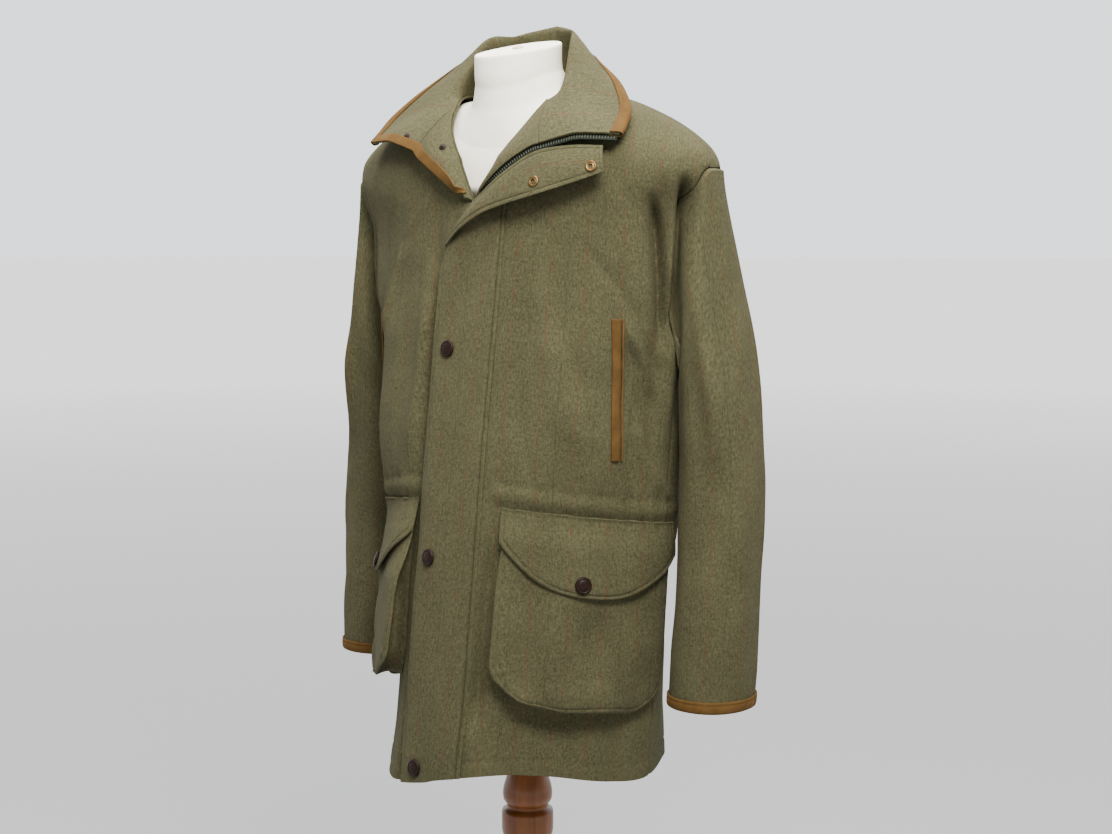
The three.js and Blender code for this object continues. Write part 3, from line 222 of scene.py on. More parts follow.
def plainBody(row, degrees):
    row, degrees = np.broadcast_arrays(np.asarray(row, float), np.asarray(degrees, float))
    ring = ringAt(row)
    turn = np.radians(degrees)
    s, c = np.sin(turn), np.cos(turn)
    isFront = c >= 0
    power = 2 / np.where(isFront, ring["bowFront"], ring["bowBack"])
    x = ring["half"] * np.sign(s) * np.abs(s) ** power
    y = np.where(isFront, -frontDepth(ring, x), ring["back"] * np.abs(c) ** power)
    rise = np.where(isFront, ring["zFront"], ring["zBack"]) - ring["zSide"]
    z = ring["zSide"] + rise * c * c
    around = np.abs(np.where(degrees > 180, degrees - 360, degrees))
    isLeft = (degrees >= 0) & (degrees <= 180)
    left, right = lookUp(hemWave, "angle", "left", around), lookUp(hemWave, "angle", "right", around)
    z = z + np.where(isLeft, left, right) * (1 - ease((z - rings["zSide"][0]) / 120))
    return np.stack([x, y, z], -1)


def across(surface, row, degrees):  # the outward normal
    up = surface(np.minimum(cut["neck"], row + 0.02), degrees) - surface(np.maximum(0, row - 0.02), degrees)
    around = surface(row, degrees + 0.4) - surface(row, degrees - 0.4)
    return unit(np.cross(around, up))


arcGrid = {"perRow": 30, "degrees": 2}
arcRows = np.linspace(0, cut["neck"], cut["neck"] * arcGrid["perRow"] + 1)
arcTurns = np.arange(0, 194, arcGrid["degrees"])
arcTable = runAcross(plainBody(arcRows[:, None], arcTurns[None, :]))


def arcAt(row, degrees):  # the distance round the cloth from the centre front
    r = np.clip(row * arcGrid["perRow"], 0, len(arcRows) - 1.001)
    t = np.clip(np.abs(degrees) / arcGrid["degrees"], 0, len(arcTurns) - 1.001)
    i, j = r.astype(int), t.astype(int)
    u, v = r - i, t - j
    low = mix(arcTable[i, j], arcTable[i, j + 1], v)
    return mix(low, mix(arcTable[i + 1, j], arcTable[i + 1, j + 1], v), u)


def foldSum(rows, side, arc, z):
    total = np.zeros_like(z)
    for k in range(len(rows["side"])):
        fold = {key: rows[key][k] for key in rows}
        along = (fold["zA"] - z) / (fold["zA"] - fold["zB"])
        here = ((fold["side"] == 0) | (side == fold["side"])) & (along > -0.25) & (along < 1.25)
        off = (arc - mix(fold["arcA"], fold["arcB"], along)) / fold["halfWide"]
        atHem = fold["zB"] < hemZ + 10
        ends = ease((along + 0.2) / 0.35) * (1 if atHem else ease((1.2 - along) / 0.35))
        total += np.where(here, fold["depth"] * bump(off) * ends, 0)
    return total


def relief(row, degrees, fine):
    z = plainBody(row, degrees)[..., 2]
    angle = np.where(degrees > 180, degrees - 360, degrees)
    arc, side = arcAt(row, angle), np.sign(angle)
    out = foldSum(folds, side, arc, z)
    c = np.cos(np.radians(degrees))
    level = casing["zSide"] + (np.where(c >= 0, casing["zFront"], casing["zBack"]) - casing["zSide"]) * c * c
    clearOfStorm = ease((arc - placket["stormHalf"] - 6) / 16)
    out = out + casing["depth"] * bump((z - level) / casing["halfWide"]) * clearOfStorm
    if not fine:
        return out
    out = out + foldSum(creases, side, arc, z)
    gathers = ripple(arc * 0.33, 0.7 + side) * 1.5 + ripple(arc * 0.74, 1.9 - side) * 0.8
    above, below = bump((z - level - casing["gatherAt"]) / 11), bump((z - level + casing["gatherAt"]) / 9)
    out = out + gathers * (above + below + 0.45 * bump((z - level) / 12)) * clearOfStorm
    hang = np.where(side > 0, hemHang["left"], hemHang["right"])
    hang = hang * ease((hemHang["top"] - z) / hemHang["fall"])
    out = out - hang * bump((arc - hemHang["arc"]) / hemHang["halfWide"])
    stitched = bump((z - level - casing["stitchAt"]) / 2.0) + bump((z - level + casing["stitchAt"]) / 2.0)
    out = out - casing["stitchDeep"] * stitched * clearOfStorm
    soft = 0.5 * ripple(arc * 0.031 + z * 0.017, 2.2 * side) + 0.35 * ripple(z * 0.05 - arc * 0.022, side)
    return out + soft


def bodyPoint(row, degrees, fine=True):
    row, degrees = np.broadcast_arrays(np.asarray(row, float), np.asarray(degrees, float))
    return plainBody(row, degrees) + across(plainBody, row, degrees) * relief(row, degrees, fine)[..., None]


def bodyMoved(row, degrees, out, fine=True):
    row, degrees = np.broadcast_arrays(np.asarray(row, float), np.asarray(degrees, float))
    normal = across(lambda r, d: bodyPoint(r, d, False), row, degrees)
    return bodyPoint(row, degrees, fine) + normal * np.asarray(out)[..., None]


def angleAtX(row, x):
    ring = ringAt(np.asarray(row, float))
    share = np.minimum(1, np.abs(x) / ring["half"]) ** (ring["bowFront"] / 2)
    return np.sign(x) * np.degrees(np.arcsin(share))


def armholeShare(row):
    place = (row - (cut["underarm"] + cut["shoulder"]) / 2) / cut["reach"]
    bow = mix(cut["bowLow"], cut["bowHigh"], ease(place + 0.3))
    return np.maximum(0, 1 - np.minimum(1, np.abs(place)) ** bow) ** (1 / bow)


def frontEnd(row):
    return cut["sideSeam"] - cut["armholeFront"] * armholeShare(row)


def backEnd(row):
    return cut["sideSeam"] + cut["armholeBack"] * armholeShare(row)


def bodyRows():  # from the hem to the neck seam, close together at the hem and round the armhole
    hem = np.array([0, 0.009, 0.024, 0.045])
    low = np.linspace(0.09, cut["underarm"], 118)
    armhole = cut["underarm"] + cut["reach"] * (1 - np.cos(np.linspace(0, np.pi, 76)))
    yoke = np.linspace(cut["shoulder"], cut["neck"], 50)
    return np.concatenate([hem, low[:-1], armhole[:-1], yoke])


def edgeCrowded(total, count, near=(0.7, 1.8, 3.4)):  # distances, close together at both ends
    near = np.array(near)
    inner = np.linspace(0, 1, count)[None, 1:-1]
    total = np.atleast_1d(total)[:, None]
    middle = near[-1] + (total - 2 * near[-1]) * inner
    start = np.broadcast_to(np.concatenate([[0], near]), (len(total), len(near) + 1))
    return np.concatenate([start, middle, total - start[:, ::-1]], 1)


def anglesByDistance(rows, start, stop, count):  # even steps along the cloth between two angles
    turns = mix(start[:, None], stop[:, None], np.linspace(0, 1, 241)[None, :])
    run = runAcross(plainBody(rows[:, None], turns))
    wanted = edgeCrowded(run[:, -1], count)
    angles = np.array([np.interp(w, r, t) for w, r, t in zip(wanted, run, turns)])
    return angles, wanted, run[:, -1]


# laying a piece of cloth down

def newObject(name, bm, material, bodySlot):
    mesh = bpy.data.meshes.new(name)
    bm.to_mesh(mesh)
    bm.free()
    mesh.polygons.foreach_set("use_smooth", [True] * len(mesh.polygons))
    mesh.materials.append(material)
    obj = bpy.data.objects.new(name, mesh)
    bpy.context.collection.objects.link(obj)
    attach(obj, "root")
    return obj


def gridFaces(points, grain=None, closed=False, flip=False):
    rows, cols = points.shape[:2]
    bm = bmesh.new()
    bmesh.ops.create_grid(bm, x_segments=cols - 1, y_segments=rows - 1, size=0.5)
    place = {}
    for v in bm.verts:
        i, j = round((v.co.y + 0.5) * (rows - 1)), round((v.co.x + 0.5) * (cols - 1))
        place[v.index] = (i, j)
        v.co = Vector(points[i, j]) * mm
    if grain is not None:
        layer = bm.loops.layers.uv.new("grain")
        for face in bm.faces:
            for loop in face.loops:
                i, j = place[loop.vert.index]
                loop[layer].uv = (grain[i, j, 0] * mm, grain[i, j, 1] * mm)
    if closed:
        edge = [v for v in bm.verts if place[v.index][1] in (0, cols - 1)]
        bmesh.ops.remove_doubles(bm, verts=edge, dist=1e-6)
    if flip:
        bmesh.ops.reverse_faces(bm, faces=bm.faces)
    return bm


def flatSize(points):
    width = np.linalg.norm(np.diff(points, axis=1), axis=2).sum(1).max() * mm
    length = np.linalg.norm(np.diff(points, axis=0), axis=2).sum(0).max() * mm
    a, b = points[1:, :-1] - points[:-1, :-1], points[:-1, 1:] - points[:-1, :-1]
    c, d = points[1:, :-1] - points[1:, 1:], points[:-1, 1:] - points[1:, 1:]
    area = np.linalg.norm(np.cross(a, b), axis=2) + np.linalg.norm(np.cross(c, d), axis=2)
    area = area.sum() / 2 * mm * mm
    return width, length, min(area, width * length)


def declareSheet(points, held, restsOn):
    width, length, area = flatSize(points)
    list(restsOn)


def wallModifiers(obj, thick, offset, rounded):
    wall = obj.modifiers.new("wall", "SOLIDIFY")
    wall.thickness, wall.offset, wall.use_rim = thick * mm, offset, True
    wall.use_quality_normals = True
    if rounded:
        edge = obj.modifiers.new("edge", "BEVEL")
        edge.width, edge.segments, edge.profile = rounded * mm, 2, 0.5
        edge.limit_method, edge.angle_limit = "ANGLE", math.radians(55)


def layCloth(name, points, grain, thick=cloth["thick"], offset=-1, closed=False, flip=False, rounded=0.8,
             held="draped", restsOn=("form_cover",)):
    obj = newObject(name + "_cloth", gridFaces(points, grain, closed, flip), looks["tweed"], "tweed")
    wallModifiers(obj, thick, offset, rounded)
    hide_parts(name)
    declareSheet(points, held, restsOn)


def layStrip(name, points, restsOn, ending="_suede", look="suede", thick=0.7, offset=-1, rounded=0,
             closed=False, flip=False, declared=True):  # a narrow strip, sewn on
    obj = newObject(name + ending, gridFaces(points, None, closed, flip), looks[look], look)
    wallModifiers(obj, thick, offset, rounded)
    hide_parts(name)
    if declared:  # narrow strips skip declareSheet, which only measures the sheet and keeps nothing
        declareSheet(points, "stretched", [restsOn])


# materials

def nodeSetter(tree):
    def add(kind, inputs=None, **settings):
        made = tree.nodes.new(kind)
        for key, value in settings.items():
            setattr(made, key, value)
        for key, value in (inputs or {}).items():
            socket = made.inputs[key]
            if isinstance(value, bpy.types.NodeSocket):
                tree.links.new(value, socket)
            else:
                socket.default_value = value
        return made
    return add


def newGroup(name, ins, outs):
    tree = bpy.data.node_groups.new(name, "ShaderNodeTree")
    for label, kind, default in ins:
        made = tree.interface.new_socket(label, in_out="INPUT", socket_type=kind)
        if default is not None:
            made.default_value = default
    for label, kind in outs:
        tree.interface.new_socket(label, in_out="OUTPUT", socket_type=kind)
    add = nodeSetter(tree)
    return tree, add, add("NodeGroupInput"), add("NodeGroupOutput")


def maths(add, operation, a, b=0.0, c=0.0, limit=False):
    return add("ShaderNodeMath", {0: a, 1: b, 2: c}, operation=operation, use_clamp=limit).outputs[0]


def blendColour(add, share, a, b):
    return add("ShaderNodeMix", {0: share, 6: a, 7: b}, data_type="RGBA").outputs[2]


def spread(add, value, low, high, **settings):  # the values from low to high, as 0 to 1
    ends = {"Value": value, "From Min": low, "From Max": high}
    return add("ShaderNodeMapRange", ends, **settings).outputs[0]


def noiseAt(add, vector, scale, detail, rough, **more):
    return add("ShaderNodeTexNoise", {"Vector": vector, "Scale": scale, "Detail": detail, "Roughness": rough,
                                      **more}).outputs[0]


weave = {"warp": 0.0016, "weft": 0.0018, "uneven": 3.0, "repeat": 0.0425, "crossRepeat": 0.05}


def tweedGroup():
    tree, add, ins, outs = newGroup("tweedCloth", [
        ("Grain", "NodeSocketVector", None), ("Light", "NodeSocketColor", (0.2, 0.19, 0.1, 1)),
        ("Dark", "NodeSocketColor", (0.1, 0.1, 0.05, 1)), ("Rust", "NodeSocketColor", (0.25, 0.09, 0.04, 1)),
        ("Green", "NodeSocketColor", (0.07, 0.1, 0.05, 1)), ("Repeat", "NodeSocketFloat", weave["repeat"])],
        [("Colour", "NodeSocketColor"), ("Height", "NodeSocketFloat")])
    axes = add("ShaderNodeSeparateXYZ", {0: ins.outputs["Grain"]})
    u, v = axes.outputs[0], axes.outputs[1]

    def noise(scaleU, scaleV, detail, rough=0.5):
        scaled = {0: maths(add, "MULTIPLY", u, scaleU), 1: maths(add, "MULTIPLY", v, scaleV)}
        return noiseAt(add, add("ShaderNodeCombineXYZ", scaled).outputs[0], 1.0, detail, rough)

    def threads(axis, pitch, uneven):
        turn = maths(add, "MULTIPLY", axis, 2 * math.pi / pitch)
        return maths(add, "SINE", maths(add, "MULTIPLY_ADD", uneven, weave["uneven"], turn))

    def line(axis, repeat, offset, halfWide, broken, seedScale):
        phase = maths(add, "DIVIDE", maths(add, "ADD", axis, offset), repeat)
        near = maths(add, "MULTIPLY", maths(add, "PINGPONG", phase, 0.5), repeat)
        torn = spread(add, noise(*seedScale, 3.0, 0.7), *broken)
        return maths(add, "MULTIPLY", spread(add, near, halfWide, halfWide * 0.3), torn)
    warp = threads(u, weave["warp"], noise(60, 60, 1.0))
    weft = threads(v, weave["weft"], noise(70, 50, 1.0))
    crossed = maths(add, "MULTIPLY", warp, weft)
    streak = noise(900, 90, 2.0, 0.6)
    fleck = noise(420, 330, 3.0, 0.65)
    cloud = noise(22, 14, 3.0, 0.55)
    mottle = noise(260, 200, 3.0, 0.62)
    tone = maths(add, "MULTIPLY_ADD", fleck, 1.25, maths(add, "MULTIPLY", cloud, 0.5))
    tone = maths(add, "MULTIPLY_ADD", streak, 0.8, tone)
    tone = maths(add, "MULTIPLY_ADD", crossed, 0.09, maths(add, "MULTIPLY_ADD", mottle, 0.75, tone))
    ground = blendColour(add, spread(add, tone, 1.24, 2.06), ins.outputs["Dark"], ins.outputs["Light"])
    leaf = spread(add, noise(420, 260, 2.0, 0.6), 0.46, 0.66)
    ground = blendColour(add, maths(add, "MULTIPLY", leaf, 0.22), ground, ins.outputs["Green"])
    peat = spread(add, noise(520, 330, 2.0, 0.6), 0.5, 0.72)
    ground = blendColour(add, maths(add, "MULTIPLY", peat, 0.18), ground, ins.outputs["Rust"])
    repeat = ins.outputs["Repeat"]
    half = maths(add, "MULTIPLY", repeat, 0.5)
    rustLine = maths(add, "MULTIPLY", line(u, repeat, half, 0.0022, (0.44, 0.62), (500, 55)), 0.6)
    greenLine = maths(add, "MULTIPLY", line(u, repeat, 0.0, 0.0015, (0.42, 0.66), (460, 60)), 0.5)
    crossLine = line(v, weave["crossRepeat"], 0.0, 0.0012, (0.45, 0.7), (50, 420))
    crossLine = maths(add, "MULTIPLY", crossLine, 0.3)
    colour = blendColour(add, greenLine, ground, ins.outputs["Green"])
    colour = blendColour(add, crossLine, colour, ins.outputs["Green"])
    colour = blendColour(add, rustLine, colour, ins.outputs["Rust"])
    height = maths(add, "MULTIPLY_ADD", fleck, 0.7, maths(add, "MULTIPLY", streak, 0.5))
    height = maths(add, "MULTIPLY_ADD", crossed, 0.25, height)
    tree.links.new(colour, outs.inputs["Colour"])
    tree.links.new(height, outs.inputs["Height"])
    return tree


def napGroup():
    tree, add, ins, outs = newGroup("suedeNap", [
        ("Light", "NodeSocketColor", (0.5, 0.25, 0.07, 1)), ("Dark", "NodeSocketColor", (0.3, 0.13, 0.03, 1)),
        ("Scale", "NodeSocketFloat", 1.0)], [("Colour", "NodeSocketColor"), ("Height", "NodeSocketFloat")])
    place = add("ShaderNodeTexCoord").outputs["Object"]
    scaled = add("ShaderNodeVectorMath", {0: place, 3: ins.outputs["Scale"]}, operation="SCALE").outputs[0]
    brushed = noiseAt(add, scaled, 55.0, 5.0, 0.6)
    nap = noiseAt(add, scaled, 1400.0, 2.0, 0.7)
    mixed = maths(add, "MULTIPLY_ADD", nap, 0.6, maths(add, "MULTIPLY", brushed, 0.8))
    share = spread(add, mixed, 0.45, 0.95)
    tree.links.new(blendColour(add, share, ins.outputs["Dark"], ins.outputs["Light"]), outs.inputs["Colour"])
    height = maths(add, "MULTIPLY_ADD", nap, 0.6, maths(add, "MULTIPLY", brushed, 0.4))
    tree.links.new(height, outs.inputs["Height"])
    return tree


groups = {"tweed": tweedGroup(), "nap": napGroup()}


def newMaterial(name, roughness, sheen=0.0, sheenRough=0.5, metallic=0.0, specular=0.5, coat=0.0):
    material = bpy.data.materials.new(name)
    material.use_nodes = True
    shader = material.node_tree.nodes["Principled BSDF"]
    shader.inputs["Roughness"].default_value = roughness
    shader.inputs["Sheen Weight"].default_value = sheen
    shader.inputs["Sheen Roughness"].default_value = sheenRough
    shader.inputs["Metallic"].default_value = metallic
    shader.inputs["Specular IOR Level"].default_value = specular
    shader.inputs["Coat Weight"].default_value = coat
    return material, shader, nodeSetter(material.node_tree)


def bumpInto(add, shader, height, strength, distance):
    made = add("ShaderNodeBump", {"Height": height, "Strength": strength, "Distance": distance})
    shader.id_data.links.new(made.outputs[0], shader.inputs["Normal"])


tweedLook = {"Light": (0.080, 0.0755, 0.039, 1), "Dark": (0.0265, 0.0255, 0.0125, 1),
             "Rust": (0.075, 0.030, 0.014, 1), "Green": (0.018, 0.025, 0.009, 1), "Repeat": weave["repeat"]}
suedeLook = {"Light": (0.092, 0.049, 0.0135, 1), "Dark": (0.046, 0.0235, 0.0062, 1), "Scale": 1.0}


def tweedMaterial():
    material, shader, add = newMaterial("tweed", 0.95, sheen=0.03, sheenRough=0.6, specular=0.1)
    shader.inputs["Sheen Tint"].default_value = (0.75, 0.68, 0.4, 1)
    grain = add("ShaderNodeUVMap", uv_map="grain").outputs[0]
    woven = add("ShaderNodeGroup", {"Grain": grain, **tweedLook}, node_tree=groups["tweed"])
    material.node_tree.links.new(woven.outputs["Colour"], shader.inputs["Base Color"])
    bumpInto(add, shader, woven.outputs["Height"], 0.55, 0.0009)
    return material


def suedeMaterial():
    material, shader, add = newMaterial("suede", 0.92, sheen=0.05, sheenRough=0.45, specular=0.1)
    shader.inputs["Sheen Tint"].default_value = (1.0, 0.6, 0.25, 1)
    nap = add("ShaderNodeGroup", suedeLook, node_tree=groups["nap"])
    material.node_tree.links.new(nap.outputs["Colour"], shader.inputs["Base Color"])
    bumpInto(add, shader, nap.outputs["Height"], 0.4, 0.0006)
    return material


def noiseMaterial(name, low, high, scale, roughness, strength=0.2, distance=0.0004, **shading):
    material, shader, add = newMaterial(name, roughness, **shading)
    place = add("ShaderNodeTexCoord").outputs["Object"]
    noise = noiseAt(add, place, scale, 4.0, 0.6)
    colour = blendColour(add, spread(add, noise, 0.35, 0.65), (*low, 1), (*high, 1))
    material.node_tree.links.new(colour, shader.inputs["Base Color"])
    bumpInto(add, shader, noise, strength, distance)
    return material


woodLook = {"dark": (0.098, 0.027, 0.0035, 1), "light": (0.19, 0.060, 0.010, 1)}


def woodMaterial():
    material, shader, add = newMaterial("turned_wood", 0.38, coat=0.15, specular=0.3)
    place = add("ShaderNodeTexCoord").outputs["Object"]
    stretched = add("ShaderNodeMapping", {"Vector": place, "Scale": (30.0, 30.0, 2.6)}).outputs[0]
    wave = noiseAt(add, stretched, 1.6, 6.0, 0.55, Distortion=0.8)
    pores = noiseAt(add, stretched, 14.0, 3.0, 0.7)
    share = spread(add, maths(add, "MULTIPLY_ADD", pores, 0.35, maths(add, "MULTIPLY", wave, 0.9)), 0.45, 0.8)
    colour = blendColour(add, share, woodLook["dark"], woodLook["light"])
    material.node_tree.links.new(colour, shader.inputs["Base Color"])
    bumpInto(add, shader, pores, 0.12, 0.0003)
    return material


looks = {
    "tweed": tweedMaterial(),
    "suede": suedeMaterial(),
    "press_cap": noiseMaterial("press_cap", (0.0085, 0.004, 0.0028), (0.014, 0.006, 0.004), 300.0, 0.4,
                               specular=0.1),
    "socket_brass": noiseMaterial("socket_brass", (0.095, 0.054, 0.018), (0.19, 0.12, 0.045), 240.0, 0.42,
                                  metallic=1.0),
    "zip": noiseMaterial("zip", (0.004, 0.006, 0.0035), (0.009, 0.012, 0.0075), 900.0, 0.75, strength=0.5,
                         specular=0.15),
    # the teeth are paler than the tape: partly their own colour, partly a painted highlight on the ribs
    "zip_teeth": noiseMaterial("zip_teeth", (0.022, 0.027, 0.018), (0.040, 0.046, 0.031), 700.0, 0.5,
                               strength=0.1, specular=0.35),
    "plug_wood": noiseMaterial("plug_wood", (0.42, 0.31, 0.20), (0.54, 0.42, 0.29), 90.0, 0.6),
    "form_cover": noiseMaterial("form_cover", (0.80, 0.755, 0.64), (0.86, 0.82, 0.71), 40.0, 0.9,
                                specular=0.2),
    "turned_wood": woodMaterial(),
    "thread": noiseMaterial("thread", (0.030, 0.027, 0.013), (0.050, 0.045, 0.022), 800.0, 0.8),
}
print("materials made")


# body panels

bodyCut = {"columns": 80, "backColumns": 150, "hemStitch": 17.0}
rowsFine = bodyRows()


def seamDip(distance, depth=1.1, wide=1.7):
    return -depth * groove(distance, wide)


def heightGrain(points):  # the way along the grain, from the hem up
    steps = np.linalg.norm(np.diff(points, axis=0), axis=2)
    return np.concatenate([np.zeros((1, points.shape[1])), np.cumsum(steps, axis=0)], 0)


def hemFold(height):
    return seamDip(height - bodyCut["hemStitch"], 0.9, 1.3) + 0.35 * ease((bodyCut["hemStitch"] - height) / 3)


def frontPanel(side):
    x = np.where(rowsFine <= cut["shoulder"], placket["zipHalf"], lookUp(rollLine, "row", "x", rowsFine))
    start = angleAtX(rowsFine, x)
    stop = frontEnd(rowsFine) - cut["seamAngle"]
    angles, run, total = anglesByDistance(rowsFine, start, stop, bodyCut["columns"])
    flat = plainBody(rowsFine[:, None], angles)
    height = heightGrain(flat)
    toSide = total[:, None] - run
    dip = seamDip(toSide) + hemFold(height)
    points = bodyMoved(rowsFine[:, None], angles * side, dip)
    return points, np.stack([(run + placket["zipHalf"]) * side, height], -1)


layCloth("front_left", *frontPanel(1))
layCloth("front_right", *frontPanel(-1), flip=True)


def backPanel():
    start = backEnd(rowsFine) + cut["seamAngle"]
    angles, run, total = anglesByDistance(rowsFine, start, 360 - start, bodyCut["backColumns"])
    flat = plainBody(rowsFine[:, None], angles)
    height = heightGrain(flat)
    toSide = np.minimum(run, total[:, None] - run)
    points = bodyMoved(rowsFine[:, None], angles, seamDip(toSide) + hemFold(height))
    return points, np.stack([run - total[:, None] / 2, height], -1)


layCloth("back", *backPanel())
print("body panels laid")


# sleeves

sleeveStations = table("xOuter zOuter xInner zInner yMid yHalf square", [
    (264, 1405, 213.5, 1184, 15, 51, 2.0),  # head
    (266, 1366, 213.5, 1170, 24, 53, 2.0),  # cap
    (276, 1296, 213, 1146, 33, 55, 2.0),  # upper arm
    (291, 1210, 210, 1110, 39, 57, 2.1),  # biceps
    (302, 1110, 208, 1065, 40, 57, 2.1),  # above elbow
    (306, 1030, 209, 1005, 36, 56, 2.1),  # elbow
    (306, 950, 211, 938, 29, 55, 2.1),  # forearm
    (306, 868, 209, 865, 21, 54, 2.1),  # wrist
    (304, 806, 208, 806, 17, 52, 2.1),  # cuff
])
sleeveFolds = table("turnA alongA turnB alongB halfWide depth", [
    (96, 0.0, 100, 0.18, 15, -4),  # front crease
    (56, -0.05, 62, 0.42, 17, 15),  # front ridge
    (121, -0.05, 125, 0.19, 26, -13),  # the hollow under the arm
    (86, 0.12, 98, 0.5, 17, 5),  # fullness inside the elbow
    (60, 0.36, 20, 0.8, 16, 5.5),  # elbow ridge
    (84, 0.5, 92, 0.7, 18, -2),  # elbow trough
    (300, 0.2, 316, 0.75, 20, -5),  # back crease
])
sleeveCreases = table("turnA alongA turnB alongB halfWide depth", [
    (30, 0.02, 40, 0.3, 16, -2),
    (20, 0.06, 34, 0.30, 9, -1.3),
    (8, 0.32, 30, 0.5, 12, 1.2),
    (36, 0.52, 12, 0.66, 10, -1.5),
    (58, 0.60, 28, 0.72, 9, 1.4),
    (60, 0.72, 40, 0.84, 10, -1.1),
    (336, 0.1, 346, 0.4, 12, 1.2),
    (326, 0.45, 350, 0.62, 11, -1.6),
    (288, 0.40, 268, 0.56, 11, -1.8),
    (262, 0.48, 246, 0.62, 10, 1.6),
    (280, 0.60, 262, 0.72, 10, -1.4),
    (240, 0.15, 252, 0.34, 13, 1.5),
    (118, 0.30, 132, 0.46, 10, -1.4),
])
sleeveCut = {"steps": 150, "half": 38, "headOut": 4, "headDrop": 3, "headSpread": 3, "headFall": 22,
             "headBlend": 2.4, "seamTurn": 346.0, "loop": 0.6, "rightFull": 9, "last": 8}


def sleeveRelief(rows, turn, along, perDegree):
    out = np.zeros_like(turn + along)
    for k in range(len(rows["turnA"])):
        fold = {key: rows[key][k] for key in rows}
        share = (along - fold["alongA"]) / (fold["alongB"] - fold["alongA"])
        here = (share > -0.3) & (share < 1.3)
        off = (turn - mix(fold["turnA"], fold["turnB"], share)) * perDegree / fold["halfWide"]
        ends = ease((share + 0.3) / 0.4) * ease((1.3 - share) / 0.4)
        out += np.where(here, fold["depth"] * bump(off) * ends, 0)
    return out


def sleevePoint(place, turn, side):
    s = {key: through(sleeveStations[key], place) for key in sleeveStations}
    angle = np.radians(turn)
    power = 2 / s["square"]
    c = np.sign(np.cos(angle)) * np.abs(np.cos(angle)) ** power
    f = np.sign(np.sin(angle)) * np.abs(np.sin(angle)) ** power
    perDegree = (s["yHalf"] + (s["xOuter"] - s["xInner"]) / 2) / 2 * math.pi / 180
    along = place / sleeveCut["last"]
    lift = sum(sleeveRelief(rows, turn, along, perDegree) for rows in (sleeveFolds, sleeveCreases))
    seam = (turn - sleeveCut["seamTurn"]) * perDegree
    lift = lift - 1.1 * groove(seam, 1.5) + 0.5 * bump((np.abs(seam) - 4) / 2.5)
    lift = lift + 0.5 * ripple(along * 22 + np.radians(turn) * 2, 1.3 * side)
    if side < 0:  # the right sleeve's head stands fuller
        lift = lift + sleeveCut["rightFull"] * bump((turn - 40) / 45) * (1 - ease((place - 0.9) / 1.6))
    out = 1 + lift / s["yHalf"]
    x = mix(s["xInner"], s["xOuter"], 0.5 + 0.5 * c * out)
    z = mix(s["zInner"], s["zOuter"], 0.5 + 0.5 * c)
    return np.stack([x * side, s["yMid"] - s["yHalf"] * f * out, z], -1)


def armholeLoop(side, turns):  # the armhole's edge at each turn: 0 at the shoulder, 90 front, 180 below
    row = cut["underarm"] + cut["reach"] * (1 + np.cos(np.radians(turns)))
    angle = np.where(turns <= 180, frontEnd(row), backEnd(row)) * side
    points = bodyPoint(row, angle, True)
    normals = across(lambda r, d: bodyPoint(r, d, False), row, angle)
    along = np.roll(points, -1, 0) - np.roll(points, 1, 0)
    inwards = unit(np.cross(normals, along))
    wrong = ((points.mean(0) - points) * inwards).sum(-1) < 0
    inwards[wrong] *= -1
    return points + inwards * sleeveCut["loop"], normals


def sleevePanel(side):
    even = np.arange(2 * sleeveCut["half"]) * 180 / sleeveCut["half"]
    seam = sleeveCut["seamTurn"] + np.array([-2.6, -1.2, 0, 1.2, 2.6])
    turns = np.sort(np.concatenate([even[np.abs(even - sleeveCut["seamTurn"]) > 3.4], seam]))
    loop, normals = armholeLoop(side, turns)
    places = np.concatenate([[0, 0.02, 0.06], np.linspace(0.12, sleeveCut["last"], sleeveCut["steps"])])
    sewn = loop - normals * 1.0
    rows = [sewn]
    first = loop + np.array([side * sleeveCut["headOut"], 0, -sleeveCut["headDrop"]])
    ridge = normals * mix(0.3, 1.0, np.sin(np.radians(turns / 2)))[:, None]
    for t in (0.12, 0.3, 0.55, 0.8):  # the seam rolls into the sleeve head
        rows.append(mix(sewn, first + ridge, ease(t * 0.5 + 0.5 * math.sqrt(t))))
    for place in places:
        share = ease(place / sleeveCut["headBlend"] + 0.04)
        shift = np.array([side * (sleeveCut["headOut"] + place * sleeveCut["headSpread"]), 0,
                          -sleeveCut["headDrop"] - place * sleeveCut["headFall"]])
        free = sleevePoint(np.full_like(turns, place), turns, side)
        rows.append(mix(loop + shift, free, share) + ridge * np.exp(-place / 0.12))
    points = np.array(rows)
    points = np.concatenate([points, points[:, :1]], 1)
    run = np.broadcast_to(runAcross(points)[-20], points.shape[:2])  # the stripes hang straight
    drop = np.broadcast_to(-heightGrain(points).mean(1, keepdims=True), run.shape)
    return points, np.stack([run, drop], -1)


sleeveEnds = {}
for word, side in (("left", 1), ("right", -1)):
    points, grain = sleevePanel(side)
    layCloth("sleeve_" + word, points, grain, closed=True, flip=side < 0, rounded=0)
    sleeveEnds[word] = points
print("sleeves laid")

